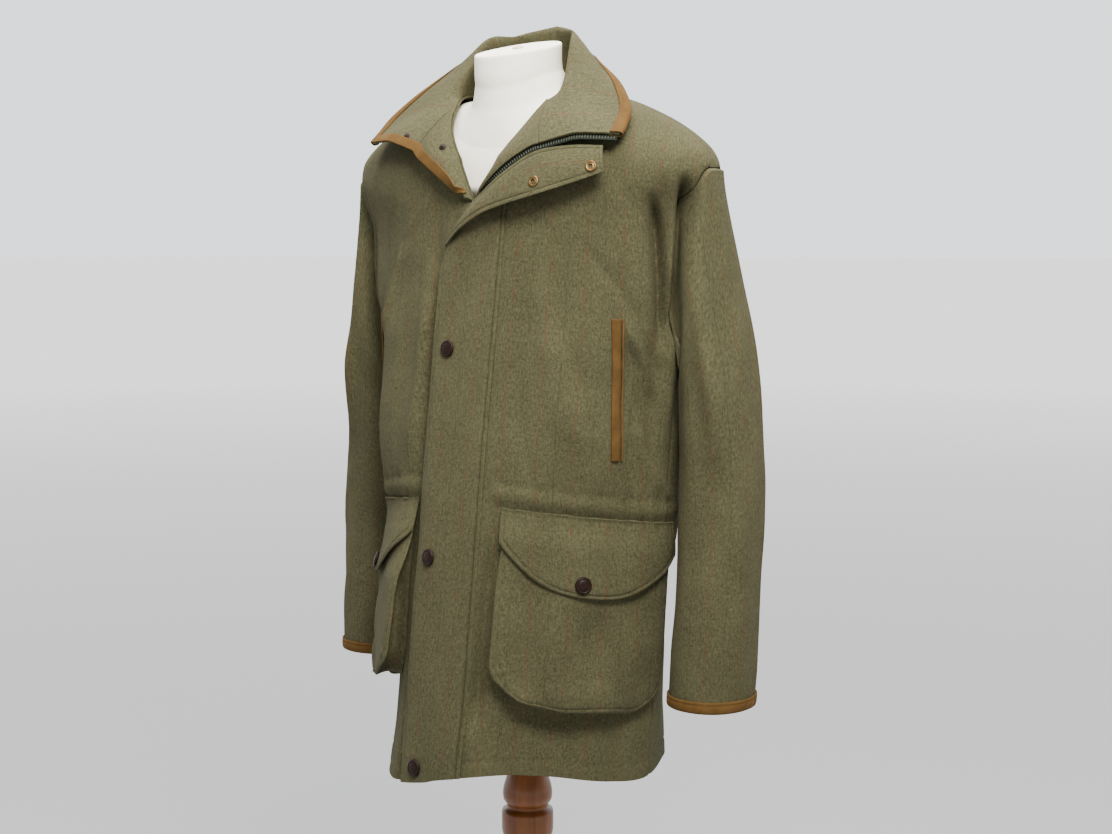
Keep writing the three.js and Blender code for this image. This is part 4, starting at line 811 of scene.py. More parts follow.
# the suede's section, from its outer edge round the cuff's end to its inner edge
bindingProfile = table("up out", [
    (10.6, 0.4), (11.0, 1.2), (10.4, 1.8), (8.6, 1.9), (7.9, 1.55), (7.2, 1.9), (3.5, 2.0), (0.5, 1.9),
    (-1.2, 1.3), (-1.9, 0.0), (-2.1, -1.3), (-1.7, -2.8), (-0.6, -3.8), (3.0, -4.2), (10.5, -4.1),
    (10.9, -3.4), (10.5, -2.9)])
for word, points in sleeveEnds.items():
    end, above = points[-1], points[-4]
    rim = unit((end - end[:-1].mean(0)) * np.array([1, 1, 0]))
    rise = unit(above - end)
    grid = np.array([end + rise * up + rim * (out + 0.12 * ripple(np.arange(len(end)) * 0.9, up)[:, None])
                     for up, out in zip(bindingProfile["up"], bindingProfile["out"])])
    layStrip("cuff_binding_" + word, grid, "sleeve_" + word, closed=True, flip=word == "left")
print("cuffs bound")


# the storm flap and its turned top

storm = {"seat": 1.0, "turnAt": 1338.0, "turnOver": 60.0, "turnEdge": 2.0, "stitchIn": 5.5, "stitchDeep": 3.7,
         "stitchWide": 1.25, "freeStitchIn": 4.2}
stormRows = rowsFine[rowsFine <= 7.92]


def arcToAngle(rows, arcs):  # the angle at a distance round the cloth, on each row
    turns = np.linspace(0, 60, 241)
    run = runAcross(plainBody(rows[:, None], turns[None, :]))
    return np.array([np.sign(arcs) * np.interp(np.abs(arcs), r, turns) for r in run])


def stormPanel():
    arcs = np.concatenate([[-45, -44.4, -43.4, -42.4, -41.6, -40.8, -40, -39], np.linspace(-37, 36, 24),
                           [37.5, 38.5, 39.5, 40.5, 41.6, 43, 44.3, 45]])
    angles = arcToAngle(stormRows, arcs)
    toSeam, toFree = placket["stormHalf"] - arcs, arcs + placket["stormHalf"]
    sewn = storm["stitchDeep"] * groove(toSeam - storm["stitchIn"], storm["stitchWide"])
    lift = storm["seat"] + cloth["flap"] - sewn
    lift = lift - 2.3 * ease((3.4 - toSeam) / 3.4) - 0.8 * groove(toFree - storm["freeStitchIn"], 0.9)
    inside = ease(toFree / 18)[None, :] * ease(toSeam / 18)[None, :]
    soft = 0.9 * ripple(stormRows * 2.2, 0.4)[:, None] * inside
    points = bodyMoved(stormRows[:, None], angles, lift[None, :] + soft, False)
    seam, free = points[:, -1, 0], points[:, 0, 0]
    drawn = clamp((points[:, 0, 2] - storm["turnAt"]) / storm["turnOver"] + 0.5)[:, None] / 2
    share = (seam[:, None] - points[..., 0]) / (seam - free)[:, None]
    points[..., 0] = mix(points[..., 0], mix(seam[:, None], -storm["turnEdge"], share), drawn)
    height = heightGrain(points)
    return points, np.stack([np.broadcast_to(arcs, height.shape), height], -1)


stormPoints, stormGrain = stormPanel()
layCloth("storm_flap", stormPoints, stormGrain, thick=cloth["flap"], rounded=0.9,
         restsOn=("front_left", "front_right"))

turnedFlap = table("innerX innerY innerZ freeX freeY freeZ", [
    (-35, -106.5, 1347, -39, -108.7, 1335),  # turn starts
    (-12, -112.6, 1371, -12, -117, 1354),  # foot of the zip
    (19, -114, 1397, 23, -121, 1372),  # lower stud
    (51, -114, 1420, 60, -122, 1383),  # between studs
    (90, -107, 1442, 104, -118, 1394),  # neck seam
    (134, -98, 1448, 144, -106, 1406),  # upper stud
    (170, -86, 1447, 178, -92, 1418),  # top end
])


turnedCut = {"even": 70, "evenTo": 5.8, "bow": 1.6, "stitchIn": 4.4}


def turnedPanel():
    even = np.linspace(0, turnedCut["evenTo"], turnedCut["even"])
    place = np.concatenate([even, [5.83, 5.86, 5.88, 5.9, 5.92, 5.95, 5.98, 6.0]])
    s = {key: through(turnedFlap[key], place) for key in turnedFlap}
    inner = np.stack([s["innerX"], s["innerY"], s["innerZ"]], -1)
    free = np.stack([s["freeX"], s["freeY"], s["freeZ"]], -1)
    near = np.array([0, 0.015, 0.035, 0.06, 0.08, 0.1, 0.12, 0.145])
    t = np.concatenate([near, np.linspace(0.19, 0.81, 13), 1 - near[::-1]])
    points = mix(inner[:, None, :], free[:, None, :], t[None, :, None])
    rollIn = 3.0 * np.square(1 - t)[None, :] * ease(place / 1.0)[:, None]
    bow = np.sin(math.pi * t)[None, :]
    points[..., 1] += rollIn - turnedCut["bow"] * bow * ease(place / 1.5)[:, None]
    points[..., 1] += (0.8 * ripple(place * 2.1, 0.8)[:, None] + 0.3) * bow ** 2
    run = runAlong(points[:, len(near)])
    fall = np.linalg.norm(points - points[:, :1], axis=2)
    toEdge = np.minimum(np.minimum(fall, fall[:, -1:] - fall), (run[-1] - run)[:, None])
    points[..., 1] += groove(toEdge - turnedCut["stitchIn"], 1.0) * ease(place / 0.8)[:, None]
    return points, np.stack([fall, np.broadcast_to(run[:, None], fall.shape)], -1)


turnedPoints, turnedGrain = turnedPanel()
layCloth("storm_flap_top", turnedPoints, turnedGrain, thick=cloth["flap"], offset=0, rounded=0.9,
         restsOn=("front_left", "storm_flap"))
print("storm flap laid")


# facings and collar

zipEdge = table("row x y zLeft zRight", [
    (8.0, 7, -110, 1392, 1392), (9.0, 29, -111, 1413, 1408), (10.0, 52, -109, 1431, 1423),
    (10.4, 70, -106, 1442, 1434), (10.7, 83, -103, 1449, 1442), (11.0, 92, -100, 1452, 1450)])
facingCut = {"clear": 0.8, "bow": 5.0, "rows": 60, "columns": 22}


def facingPanel(side, rows, count):
    roll = angleAtX(rows, lookUp(rollLine, "row", "x", rows) + 1) * side
    start = bodyMoved(rows, roll, facingCut["clear"] + cloth["thick"] / 2, False)
    edge = np.stack([lookUp(zipEdge, "row", "x", rows) * side, lookUp(zipEdge, "row", "y", rows),
                     lookUp(zipEdge, "row", "zLeft" if side > 0 else "zRight", rows)], -1)
    t = np.linspace(0, 1, count)
    points = mix(start[:, None, :], edge[:, None, :], t[None, :, None])
    points[..., 1] -= facingCut["bow"] * np.sin(math.pi * t)[None, :] * clamp((rows - 8) / 0.6)[:, None]
    points[-1, :, 2] -= 0.4
    return points


facings = {}
for word, side in (("left", 1), ("right", -1)):
    rows = np.concatenate([np.linspace(cut["shoulder"], 10.9, facingCut["rows"]), [cut["neck"]]])
    points = facingPanel(side, rows, facingCut["columns"])
    facings[word] = points
    run = np.linalg.norm(points - points[:, :1], axis=2)
    grain = np.stack([run, heightGrain(points)], -1)
    layCloth("facing_" + word, points, grain, offset=0, flip=side > 0, rounded=0.6,
             restsOn=("front_" + word,))


collarStations = table("angle rollX rollY rollZ edgeX edgeY edgeZ bulge liftRight", [
    (0, 138, -92, 1462, 186, -73, 1460, 0.1, 3),  # zip end
    (0, 128, -76, 1481, 184, -60, 1471, 0.12, 4),  # seam turn
    (57, 96, -50, 1508, 176, -40, 1492, 0.06, 6),  # roll start
    (76, 77, -20, 1549, 146, -14, 1521, 0.05, 10),  # front side
    (98, 64, 5, 1585, 101, 12, 1547, 0.1, 14),  # side
    (122, 47, 32, 1592, 69, 46, 1556, 0.16, 8),  # back side
    (150, 26, 53, 1600, 37, 71, 1570, 0.18, 4),  # back
    (180, 0, 62, 1606, 0, 84, 1580, 0.18, 0),  # centre back
])
collarCut = {"seam": 1.0, "columns": 101, "rows": 34, "last": 7, "sunk": 0.3, "low": -1.8, "lowBack": -2.6,
             "onFacing": 2}  # the first two stations start on the facing


def softCurve(knots, count):  # centripetal curve through knots (n, 5, 3), evenly spaced along its length
    first, last = 2 * knots[:, :1] - knots[:, 1:2], 2 * knots[:, -1:] - knots[:, -2:-1]
    p = np.concatenate([first, knots, last], 1)
    t = np.linspace(0, 1, 25)[None, :, None]
    pieces = []
    for i in range(knots.shape[1] - 1):
        p0, p1, p2, p3 = (p[:, i + k][:, None, :] for k in range(4))
        d = [np.maximum(np.linalg.norm(b - a, axis=2, keepdims=True) ** 0.5, 1e-4)
             for a, b in ((p0, p1), (p1, p2), (p2, p3))]
        m1 = ((p1 - p0) / d[0] - (p2 - p0) / (d[0] + d[1]) + (p2 - p1) / d[1]) * d[1]
        m2 = ((p2 - p1) / d[1] - (p3 - p1) / (d[1] + d[2]) + (p3 - p2) / d[2]) * d[1]
        line = p1 + m1 * t + (3 * (p2 - p1) - 2 * m1 - m2) * t ** 2 + (2 * (p1 - p2) + m1 + m2) * t ** 3
        pieces.append(line[:, :-1] if i < knots.shape[1] - 2 else line)
    dense = np.concatenate(pieces, 1)
    run = runAcross(dense)
    return np.array([atRun(line, r, np.linspace(0, r[-1], count)).T for line, r in zip(dense, run)])


def collarHalf(side, places):
    s = {key: through(collarStations[key], places) for key in collarStations}
    lifted = s["liftRight"] * (side < 0)
    roll = np.stack([s["rollX"] * side, s["rollY"], s["rollZ"] + lifted * 0.3], -1)
    edge = np.stack([s["edgeX"] * side, s["edgeY"], s["edgeZ"] + lifted], -1)
    # the first stations start on the facing's top edge, the rest on the neck seam
    first, steps = collarCut["onFacing"], 40
    ends = facingPanel(side, np.array([10.5, 11.0]), steps + 1)
    t = clamp(1 - places / first) * steps
    j = np.minimum(steps - 1, t.astype(int))
    w = (t - j)[:, None]
    top, below = mix(ends[1][j], ends[1][j + 1], w), mix(ends[0][j], ends[0][j + 1], w)
    onFacing = top + unit(top - below) * mix(collarCut["seam"], -4.0, ease((places - 1.5) * 2))[:, None]
    stations = {key: collarStations[key][first:] for key in collarStations}
    angle = lookUp(stations, "angle", "angle", s["angle"]) * side
    angle = np.where(places < first, stations["angle"][0] * side, angle)
    row = np.full_like(places, cut["neck"])
    up = unit(bodyPoint(row, angle, False) - bodyPoint(row - 0.02, angle, False))
    low = mix(collarCut["low"], collarCut["lowBack"], ease(places - first))
    onSeam = bodyMoved(row, angle, np.full_like(places, collarCut["sunk"]), False) + up * low[:, None]
    start = np.where((places < first)[:, None], onFacing, onSeam)
    lift = roll - (start + edge) / 2
    rising = mix(start, roll, 0.6) + lift * 0.06
    falling = mix(roll, edge, 0.45) + lift * s["bulge"][:, None]
    return softCurve(np.stack([start, rising, roll, falling, edge], 1), collarCut["rows"])


places = np.linspace(0, collarCut["last"], collarCut["columns"])
collarPoints = np.concatenate([collarHalf(1, places), collarHalf(-1, places)[-2::-1]], 0)
fall = runAcross(collarPoints)
collarGrain = np.stack([np.broadcast_to(runAlong(collarPoints[:, -1])[:, None], fall.shape), fall], -1)
layCloth("collar", collarPoints, collarGrain, thick=cloth["collar"], offset=0)

edgingProfile = table("back out", [
    (10.8, 1.7), (11.2, 2.4), (10.4, 3.0), (8.6, 3.05), (7.8, 2.75), (7.0, 3.1), (3.0, 3.2), (-0.4, 2.9),
    (-2.0, 1.9), (-2.8, 0.0), (-2.0, -1.9), (-0.4, -2.9), (3.0, -3.2), (10.4, -3.0), (11.2, -2.4),
    (10.8, -1.7)])


def edgingGrid():
    edge, inside = collarPoints[:, -1], collarPoints[:, -4]
    along = unit(np.gradient(edge, axis=0))
    back = unit(inside - edge)
    out = unit(np.cross(along, back))
    return np.array([edge + back * b + out * o for b, o in zip(edgingProfile["back"], edgingProfile["out"])])


layStrip("collar_edging", edgingGrid(), "collar")
print("collar laid")


# pockets, on the fronts' own cloth

mapped = {"step": 3.0, "arcTo": 336, "low": 690, "high": 1300}


def clothMap(side):  # the front by height and distance round it
    rows = rowsFine[rowsFine <= cut["shoulder"]]
    arcs = np.arange(0, mapped["arcTo"], mapped["step"])
    turns = np.linspace(0, 110, 441)
    run = runAcross(plainBody(rows[:, None], turns[None, :] * side))
    angles = np.array([np.interp(arcs, r, turns) for r in run]) * side
    points = bodyPoint(rows[:, None], angles)
    heights = np.arange(mapped["low"], mapped["high"], mapped["step"])
    return np.stack([atRun(points[:, j], points[:, j, 2], heights).T for j in range(len(arcs))], 1)


clothMaps = {1: clothMap(1), -1: clothMap(-1)}


def onCloth(side, arc, z):
    grid = clothMaps[side]
    a = np.clip(arc / mapped["step"], 0, grid.shape[1] - 1.001)
    h = np.clip((z - mapped["low"]) / mapped["step"], 0, grid.shape[0] - 1.001)
    i, j = h.astype(int), a.astype(int)
    u, v = (h - i)[..., None], (a - j)[..., None]
    return mix(mix(grid[i, j], grid[i, j + 1], v), mix(grid[i + 1, j], grid[i + 1, j + 1], v), u)


def offCloth(side, arc, z, out):
    sideways = onCloth(side, arc + 14, z) - onCloth(side, arc - 14, z)
    up = onCloth(side, arc, z + 14) - onCloth(side, arc, z - 14)
    return onCloth(side, arc, z) + unit(np.cross(sideways, up)) * side * np.asarray(out)[..., None]


pocket = {"frontEdge": 72, "rearEdge": 275, "topFront": 1004, "topRear": 984, "lowFront": 814, "lowRear": 791,
          "corner": 44, "gusset": 21, "puff": 5, "underCut": 7, "topShare": 0.36, "foldMost": 0.6, "sag": 6.5,
          "belly": 4, "stitchIn": 4.0, "tall": 190.0}
# how each bag stands: the right one, on the far side, hangs open
standing = {1: {"out": 0, "flat": 0.42, "fold": 12}, -1: {"out": 11, "flat": 0.12, "fold": 20}}
pocketFlap = {"frontEdge": 69, "rearEdge": 279, "topFront": 1036, "topRear": 1012, "drop": 92,
              "roundOff": 0.58, "roundPower": 2.6, "clear": 2.0,
              "flare": 1.0, "riseIn": 36, "stitchIn": 4.2, "grainLow": 221}


def edgesOf(piece):  # the middle and the half width, round the cloth
    return (piece["frontEdge"] + piece["rearEdge"]) / 2, (piece["rearEdge"] - piece["frontEdge"]) / 2


def bagOut(side, share, down):  # how far the bag's face stands off the body's cloth
    deep = pocket["gusset"] * mix(pocket["topShare"], 1, clamp(down) ** 0.8)
    deep = deep + standing[side]["out"] * clamp(down * 3)
    swell = pocket["puff"] * (1 - share ** 2) * np.sin(math.pi * clamp(0.1 + 0.8 * down))
    return (cloth["layer"] + deep + swell) * (1 - standing[side]["flat"] * ease((share - 0.3) / 0.7))


def pocketPanel(side):
    middle, half = edgesOf(pocket)
    gusset = np.array([1.0, 0.9, 0.8, 0.68, 0.56, 0.44, 0.32, 0.2, 0.08])  # 1 at the body's cloth
    steps = len(gusset)
    edge = np.array([0.0, 0.7, 1.6, 2.6, 3.3, 4.0, 4.7, 5.6]) / half
    face = np.concatenate([-1 + edge, np.linspace(-0.92, 0.92, 52), (1 - edge)[::-1]])
    share = np.concatenate([np.full(steps, -1.0), face, np.full(steps, 1.0)])
    sideDeep = np.concatenate([gusset, np.zeros(len(face)), gusset[::-1]])
    corner = pocket["corner"] / pocket["tall"]
    lowRows = 1 - corner + corner * np.sin(np.linspace(math.pi / 2, 0, 30))
    highRows = np.linspace(1 - corner, 0.012, 40)[1:]
    down = np.concatenate([np.full(steps, 1.0), lowRows, highRows, [0.006, 0.0]])
    footDeep = np.concatenate([gusset, np.zeros(len(down) - steps)])
    share, down = np.meshgrid(share, down)
    atSide = np.broadcast_to(sideDeep[None, :], share.shape)
    atFoot = np.broadcast_to(footDeep[:, None], share.shape)
    deep = np.maximum(atSide, atFoot)
    topZ = mix(pocket["topFront"], pocket["topRear"], (share + 1) / 2)
    tall = topZ - mix(pocket["lowFront"], pocket["lowRear"], (share + 1) / 2)
    intoRound = clamp((down * tall - (tall - pocket["corner"])) / pocket["corner"])
    narrow = pocket["corner"] * (1 - np.sqrt(1 - intoRound ** 2 * 0.999))
    z = topZ - down * tall
    fromSide, fromFoot = (1 - np.abs(share)) * (half - narrow), (1 - down) * tall
    cornerX = np.maximum(0, pocket["corner"] - half + (half - narrow) * np.abs(share))
    cornerZ = np.maximum(0, pocket["corner"] - fromFoot)
    inCorner = (cornerX > 0) & (cornerZ > 0)
    rounded = pocket["corner"] - np.hypot(cornerX, cornerZ)
    toEdge = np.maximum(0, np.where(inCorner, rounded, np.minimum(fromSide + narrow, fromFoot)))
    out = bagOut(side, share, down)
    out = out - 1.7 * np.exp(-toEdge / 1.1) - 1.2 * groove(toEdge - pocket["stitchIn"], 0.9)
    waves = ripple(share * 4.2 + 0.6, 0.9 + side) * 2.4 + ripple(down * 5.0 + share * 2.0, 2.0 * side) * 1.7
    tucks = 0.9 * np.sin(np.arctan2(cornerZ, cornerX + 0.01) * 17 + share * 9) * np.exp(-toEdge / 9)
    slack = bump((share - 0.14) / 0.24) * bump((down - 0.52) / 0.17)  # under the flap
    bellies = bump((share + 0.34) / 0.18) * bump((down - 0.62) / 0.3)
    bellies = bellies + bump((share - 0.6) / 0.2) * bump((down - 0.66) / 0.25)
    waves = waves - pocket["sag"] * slack + pocket["belly"] * bellies
    out = out + waves * ease(toEdge / 24) + np.where(inCorner, tucks * clamp(toEdge / 3), 0)
    fold = np.sin(math.pi * deep) * np.minimum(standing[side]["fold"], out * pocket["foldMost"])
    under = np.where(atSide > 0, pocket["underCut"] * atSide + fold, 0)
    reach = (half - narrow) * share - np.sign(share) * under
    z = z + np.where(atFoot > 0, pocket["underCut"] * atFoot + fold * 0.8, 0)
    out = mix(out, cloth["layer"] + 0.6, deep)
    points = offCloth(side, middle + reach, z, out)
    run = middle + (half - narrow) * share + np.sign(share) * atSide * 20
    return points, np.stack([run * side, z - hemZ - atFoot * 20], -1)


def flapPoint(side, share, down, lift):
    middle, half = edgesOf(pocketFlap)
    topZ = mix(pocketFlap["topFront"], pocketFlap["topRear"], (share + 1) / 2)
    drop = pocketFlap["drop"] * (1 - pocketFlap["roundOff"] * np.abs(share) ** pocketFlap["roundPower"])
    fall = drop * down
    under = bagOut(side, share, (fall - 30) / 185)
    seat = cloth["layer"] + 1.1
    over = under + pocketFlap["clear"] + pocketFlap["flare"] * fall / 96
    stand = mix(seat, over, ease(fall / pocketFlap["riseIn"]))
    points = offCloth(side, middle + half * share, topZ - fall, stand + lift)
    return points, half * (1 - np.abs(share)), drop - fall, fall


def flapPanel(side):
    middle, half = edgesOf(pocketFlap)
    drop, power = pocketFlap["drop"], pocketFlap["roundPower"]
    edge = np.array([0.0, 0.6, 1.4, 2.4, 3.2, 3.8, 4.4, 5.1, 6.2])
    share = np.concatenate([-1 + edge / half, np.linspace(-0.92, 0.92, 56), (1 - edge / half)[::-1]])
    down = np.concatenate([1 - edge / drop, np.linspace(0.9, 0.03, 30), [0.015, 0.0]])
    share, down = np.meshgrid(share, down)
    _, fromSide, fromFoot, fromTop = flapPoint(side, share, down, 0.0)
    slope = 1.5 * np.abs(share) ** (power - 1) * pocketFlap["roundOff"] * power * drop / half
    toEdge = np.minimum(fromSide, fromFoot / np.sqrt(1 + np.square(slope)))
    lift = cloth["flap"] - 1.3 * np.exp(-toEdge / 0.9) - 1.4 * groove(toEdge - pocketFlap["stitchIn"], 0.9)
    lift = lift - 0.8 * groove(fromTop - 3.5, 1.0) + 0.9 * ripple(share * 3.4, 1.1 * side) * ease(toEdge / 20)
    points = flapPoint(side, share, down, lift)[0]
    return points, np.stack([(middle + half * share) * side, (1 - down) * drop + pocketFlap["grainLow"]], -1)


for word, side in (("left", 1), ("right", -1)):
    layCloth("pocket_bag_" + word, *pocketPanel(side), flip=side < 0, rounded=0.6, held="hung",
             restsOn=("front_" + word,))
    layCloth("pocket_flap_" + word, *flapPanel(side), thick=cloth["flap"], flip=side < 0, rounded=0.9,
             held="hung", restsOn=("front_" + word,))
print("pockets laid")

welt = {"low": 1089, "high": 1252, "arcLow": 193, "arcHigh": 181, "wide": 10, "slit": 1.5, "narrow": 3,
        "thick": 1.6, "wall": 1.5}


def weltPanel(word, side, name, start, wide):
    stop = start + wide
    z = np.concatenate([[0, 0.5, 1.2, 2.0], np.linspace(3, 160, 54), [161, 161.8, 162.5, 163]]) + welt["low"]
    s = (z - welt["low"]) / (welt["high"] - welt["low"])
    arc = mix(welt["arcLow"], welt["arcHigh"], s)
    inset = np.array([0, 0.35, 0.9, 1.5])
    broad = wide == welt["wide"]
    inner = np.linspace(start + 2, stop - 2, 6)[1:-1] if broad else []
    over = np.concatenate([start + inset, inner, (stop - inset)[::-1]])
    toEdge = np.minimum(over - start, stop - over)
    ends = np.minimum(z - welt["low"], welt["high"] - z)
    nearest = np.minimum(toEdge[None, :], ends[:, None])
    lift = cloth["layer"] + 0.2 + welt["thick"] - 0.9 * np.exp(-nearest / 0.5)
    lift = lift + 0.5 * np.sin(math.pi * (over - start) / wide)[None, :]
    heights = np.broadcast_to(z[:, None], (len(z), len(over)))
    points = offCloth(side, arc[:, None] + over[None, :], heights, lift)
    layStrip(name + word, points, "front_" + word, thick=welt["wall"], flip=side < 0, declared=broad)


for word, side in (("left", 1), ("right", -1)):
    weltPanel(word, side, "hand_welt_", 0, welt["wide"])
    weltPanel(word, side, "hand_welt_back_", welt["wide"] + welt["slit"], welt["narrow"])
print("hand pockets laid")


# press fasteners, spun about their own axis

def spun(profile, steps):
    bm = bmesh.new()
    verts = [bm.verts.new((r * mm, 0, h * mm)) for r, h in profile]
    edges = [bm.edges.new((a, b)) for a, b in zip(verts, verts[1:])]
    bmesh.ops.spin(bm, geom=verts + edges, cent=(0, 0, 0), axis=(0, 0, 1), angle=2 * math.pi, steps=steps,
                   use_merge=True)
    bmesh.ops.remove_doubles(bm, verts=bm.verts, dist=1e-6)
    bmesh.ops.recalc_face_normals(bm, faces=bm.faces)
    return bm


def standOn(bm, seat, out):
    turn = Vector((0, 0, 1)).rotation_difference(Vector(out)).to_matrix().to_4x4()
    bmesh.ops.transform(bm, matrix=Matrix.Translation(Vector(seat) * mm) @ turn, verts=bm.verts)
    return bm


cap = {"steps": 40, "stormZ": (1213, 968, 722), "fromFree": 25, "onFlap": (-0.10, 0.84), "clear": 0.1,
       "profile": [
    (0, 0), (8.2, 0), (9.4, 0.5), (9.95, 1.3), (9.9, 2.1), (9.5, 2.9), (8.9, 3.5), (8.3, 3.75), (7.8, 3.6),
    (7.4, 3.25), (6.9, 3.3), (5.8, 3.9), (4.4, 4.3), (2.6, 4.45), (1.2, 4.4), (0, 4.35)]}
ring = {"steps": 36, "places": {"storm_socket_lower": 3.97, "storm_socket_upper": 5.66}, "profile": [
    (2.6, 0.2), (6.4, 0), (6.6, 0.6), (6.3, 1.3), (5.6, 1.75), (4.6, 1.7), (4.0, 1.2), (3.5, 1.25),
    (3.0, 1.75), (2.6, 1.6), (2.35, 0.9), (2.6, 0.2)]}
stud = {"steps": 28, "clear": 0.2, "profile": [
    (0, 0), (4.2, 0), (4.4, 0.4), (4.1, 0.8), (3.2, 1.0), (2.5, 1.0), (2.2, 1.3), (2.1, 1.8), (1.4, 2.1),
    (0, 2.15)]}


def fastener(name, shape, seat, out, look="press_cap", bodySlot=None):
    turned = standOn(spun(shape["profile"], shape["steps"]), seat, out)
    obj = newObject(name + "_turned", turned, looks[look], bodySlot or look)
    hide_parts(name)


def stormSeat(z):
    i = int(np.searchsorted(stormPoints[:, 0, 2], z))
    line, above = stormPoints[i], stormPoints[i + 6]
    seat = atRun(line, runAlong(line), cap["fromFree"])
    out = unit(np.cross(line[14] - line[4], above[8] - line[8]))
    return seat + out * cap["clear"], out


for count, z in enumerate(cap["stormZ"]):
    fastener("storm_cap_%d" % (count + 1), cap, *stormSeat(z))
for word, side in (("left", 1), ("right", -1)):
    share, down = cap["onFlap"]
    lift = np.array(cloth["flap"] + cap["clear"])
    corner = [flapPoint(side, np.array(share + a), np.array(down + b), lift)[0]
              for a, b in ((0, 0), (0.12, 0), (0, -0.12))]
    out = unit(np.cross(corner[1] - corner[0], corner[2] - corner[0])) * side
    fastener("pocket_cap_" + word, cap, corner[0], out)


def onGrid(points, i, j, out):
    along, over = points[i + 1, j] - points[i - 1, j], points[i, j + 1] - points[i, j - 1]
    normal = unit(np.cross(along, over))
    normal = normal if normal[1] < 0 else -normal
    return points[i, j] + normal * out, normal


for name, place in ring["places"].items():
    i = int(round(place / turnedCut["evenTo"] * (turnedCut["even"] - 1)))
    fastener(name, ring, *onGrid(turnedPoints, i, 18, cloth["flap"] / 2 + 0.1), "socket_brass")
seat = onGrid(facings["right"], 50, 6, cloth["thick"] / 2 + stud["clear"])
fastener("stud_right_lower", stud, *seat)
seat = onGrid(collarPoints, len(collarPoints) - 7, 9, cloth["collar"] / 2 + stud["clear"])
fastener("stud_right_upper", stud, *seat)
print("press fasteners set")


# the zip's open edge: tape and teeth on the left, a suede guard on the right

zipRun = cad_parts["zip_closed"]  # its shape is right: only its finish is finer
zipRun.data.materials.clear()
zipRun.data.materials.append(looks["zip"])
tape = {"inside": 3, "past": 6, "before": -4.4, "thick": 0.9}
guard = {"inside": 10, "past": 2.5, "before": 3.2, "thick": 1.6}
teeth = {"pitch": 3.4, "long": 4.8, "high": 2.9, "wide": 1.7, "out": 1.9, "bevel": 0.35, "first": 4.0}


def zipPath(side, word):
    facing = facings[word][(10 if side > 0 else 3):, [-1, -2]]
    end = collarPoints[:2] if side > 0 else collarPoints[::-1][:2]
    ends = np.stack([end[0], end[1]], 1)[1:-1]
    both = np.concatenate([facing, ends], 0)
    edge, inside = both[:, 0], both[:, 1]
    along = unit(np.gradient(edge, axis=0))
    back = inside - edge
    back = unit(back - (back * along).sum(-1, keepdims=True) * along)
    out = unit(np.cross(along, back))
    out = np.where(out[:, 1:2] > 0, -out, out)
    return edge, along, back, out


def edgeBand(name, side, word, shape, look):
    edge, along, back, out = zipPath(side, word)
    t = np.linspace(shape["inside"], -shape["past"], 9)
    grow = mix(0.4, 1.0, clamp(np.arange(len(edge)) / 10.0))
    soft = shape["before"] + 0.25 * np.sin(np.linspace(0, math.pi, 9))
    points = edge[:, None] + back[:, None] * (t[None, :] * grow[:, None])[..., None]
    points = points + out[:, None] * soft[None, :, None]
    layStrip(name + word, points, "facing_" + word, ending="_band", look=look, thick=shape["thick"], offset=0,
             rounded=0.4, flip=side > 0, declared=look == "suede")


edgeBand("zip_tape_", 1, "left", tape, "zip")
edgeBand("zip_guard_", -1, "right", guard, "suede")


def zipTeeth():
    path = zipPath(1, "left")
    run = runAlong(path[0])
    bm = bmesh.new()
    for d in np.arange(teeth["first"], run[-1] - 1, teeth["pitch"]):
        at, _, back, out = (atRun(v, run, d) for v in path)
        x, z = unit(-back), unit(out)
        y = np.cross(z, x)
        place = Matrix([(x[i], y[i], z[i], at[i] * mm) for i in range(3)] + [(0, 0, 0, 1)])
        lower = Matrix.Translation(Vector((teeth["out"], 0, tape["before"])) * mm)
        shape = Matrix.Diagonal((teeth["long"] * mm, teeth["wide"] * mm, teeth["high"] * mm, 1))
        bmesh.ops.create_cube(bm, size=1, matrix=place @ lower @ shape)
    bmesh.ops.bevel(bm, geom=bm.edges[:], offset=teeth["bevel"] * mm, offset_type="OFFSET", segments=1,
                    profile=0.5, affect="EDGES", material=-1)
    newObject("zip_teeth_left", bm, looks["zip_teeth"], "zip")


zipTeeth()
print("zip set")


# rows of stitches, laid in the seam grooves

thread = {"pitch": 3.4, "long": 2.5, "radius": 0.26, "above": 0.12}


def stitchRows(name, runs):
    bm = bmesh.new()
    for points, normals in runs:
        run = runAlong(points)
        for d in np.arange(2.0, run[-1] - 3, thread["pitch"]):
            a, b = atRun(points, run, d), atRun(points, run, d + thread["long"])
            middle = (a + b) / 2 + atRun(normals, run, d) * thread["above"]
            turn = Vector((0, 0, 1)).rotation_difference(Vector(b - a)).to_matrix().to_4x4()
            radius, long = thread["radius"] * mm, float(np.linalg.norm(b - a)) * mm
            bmesh.ops.create_cone(bm, cap_ends=True, segments=5, radius1=radius, radius2=radius, depth=long,
                                  matrix=Matrix.Translation(Vector(middle) * mm) @ turn)
    newObject(name, bm, looks["thread"], "tweed")


def gridLine(points, rows, columns, flip):  # a grid's own row or column, with its normals
    normals = unit(np.cross(np.gradient(points, axis=0), np.gradient(points, axis=1))) * flip
    return points[rows, columns], normals[rows, columns]


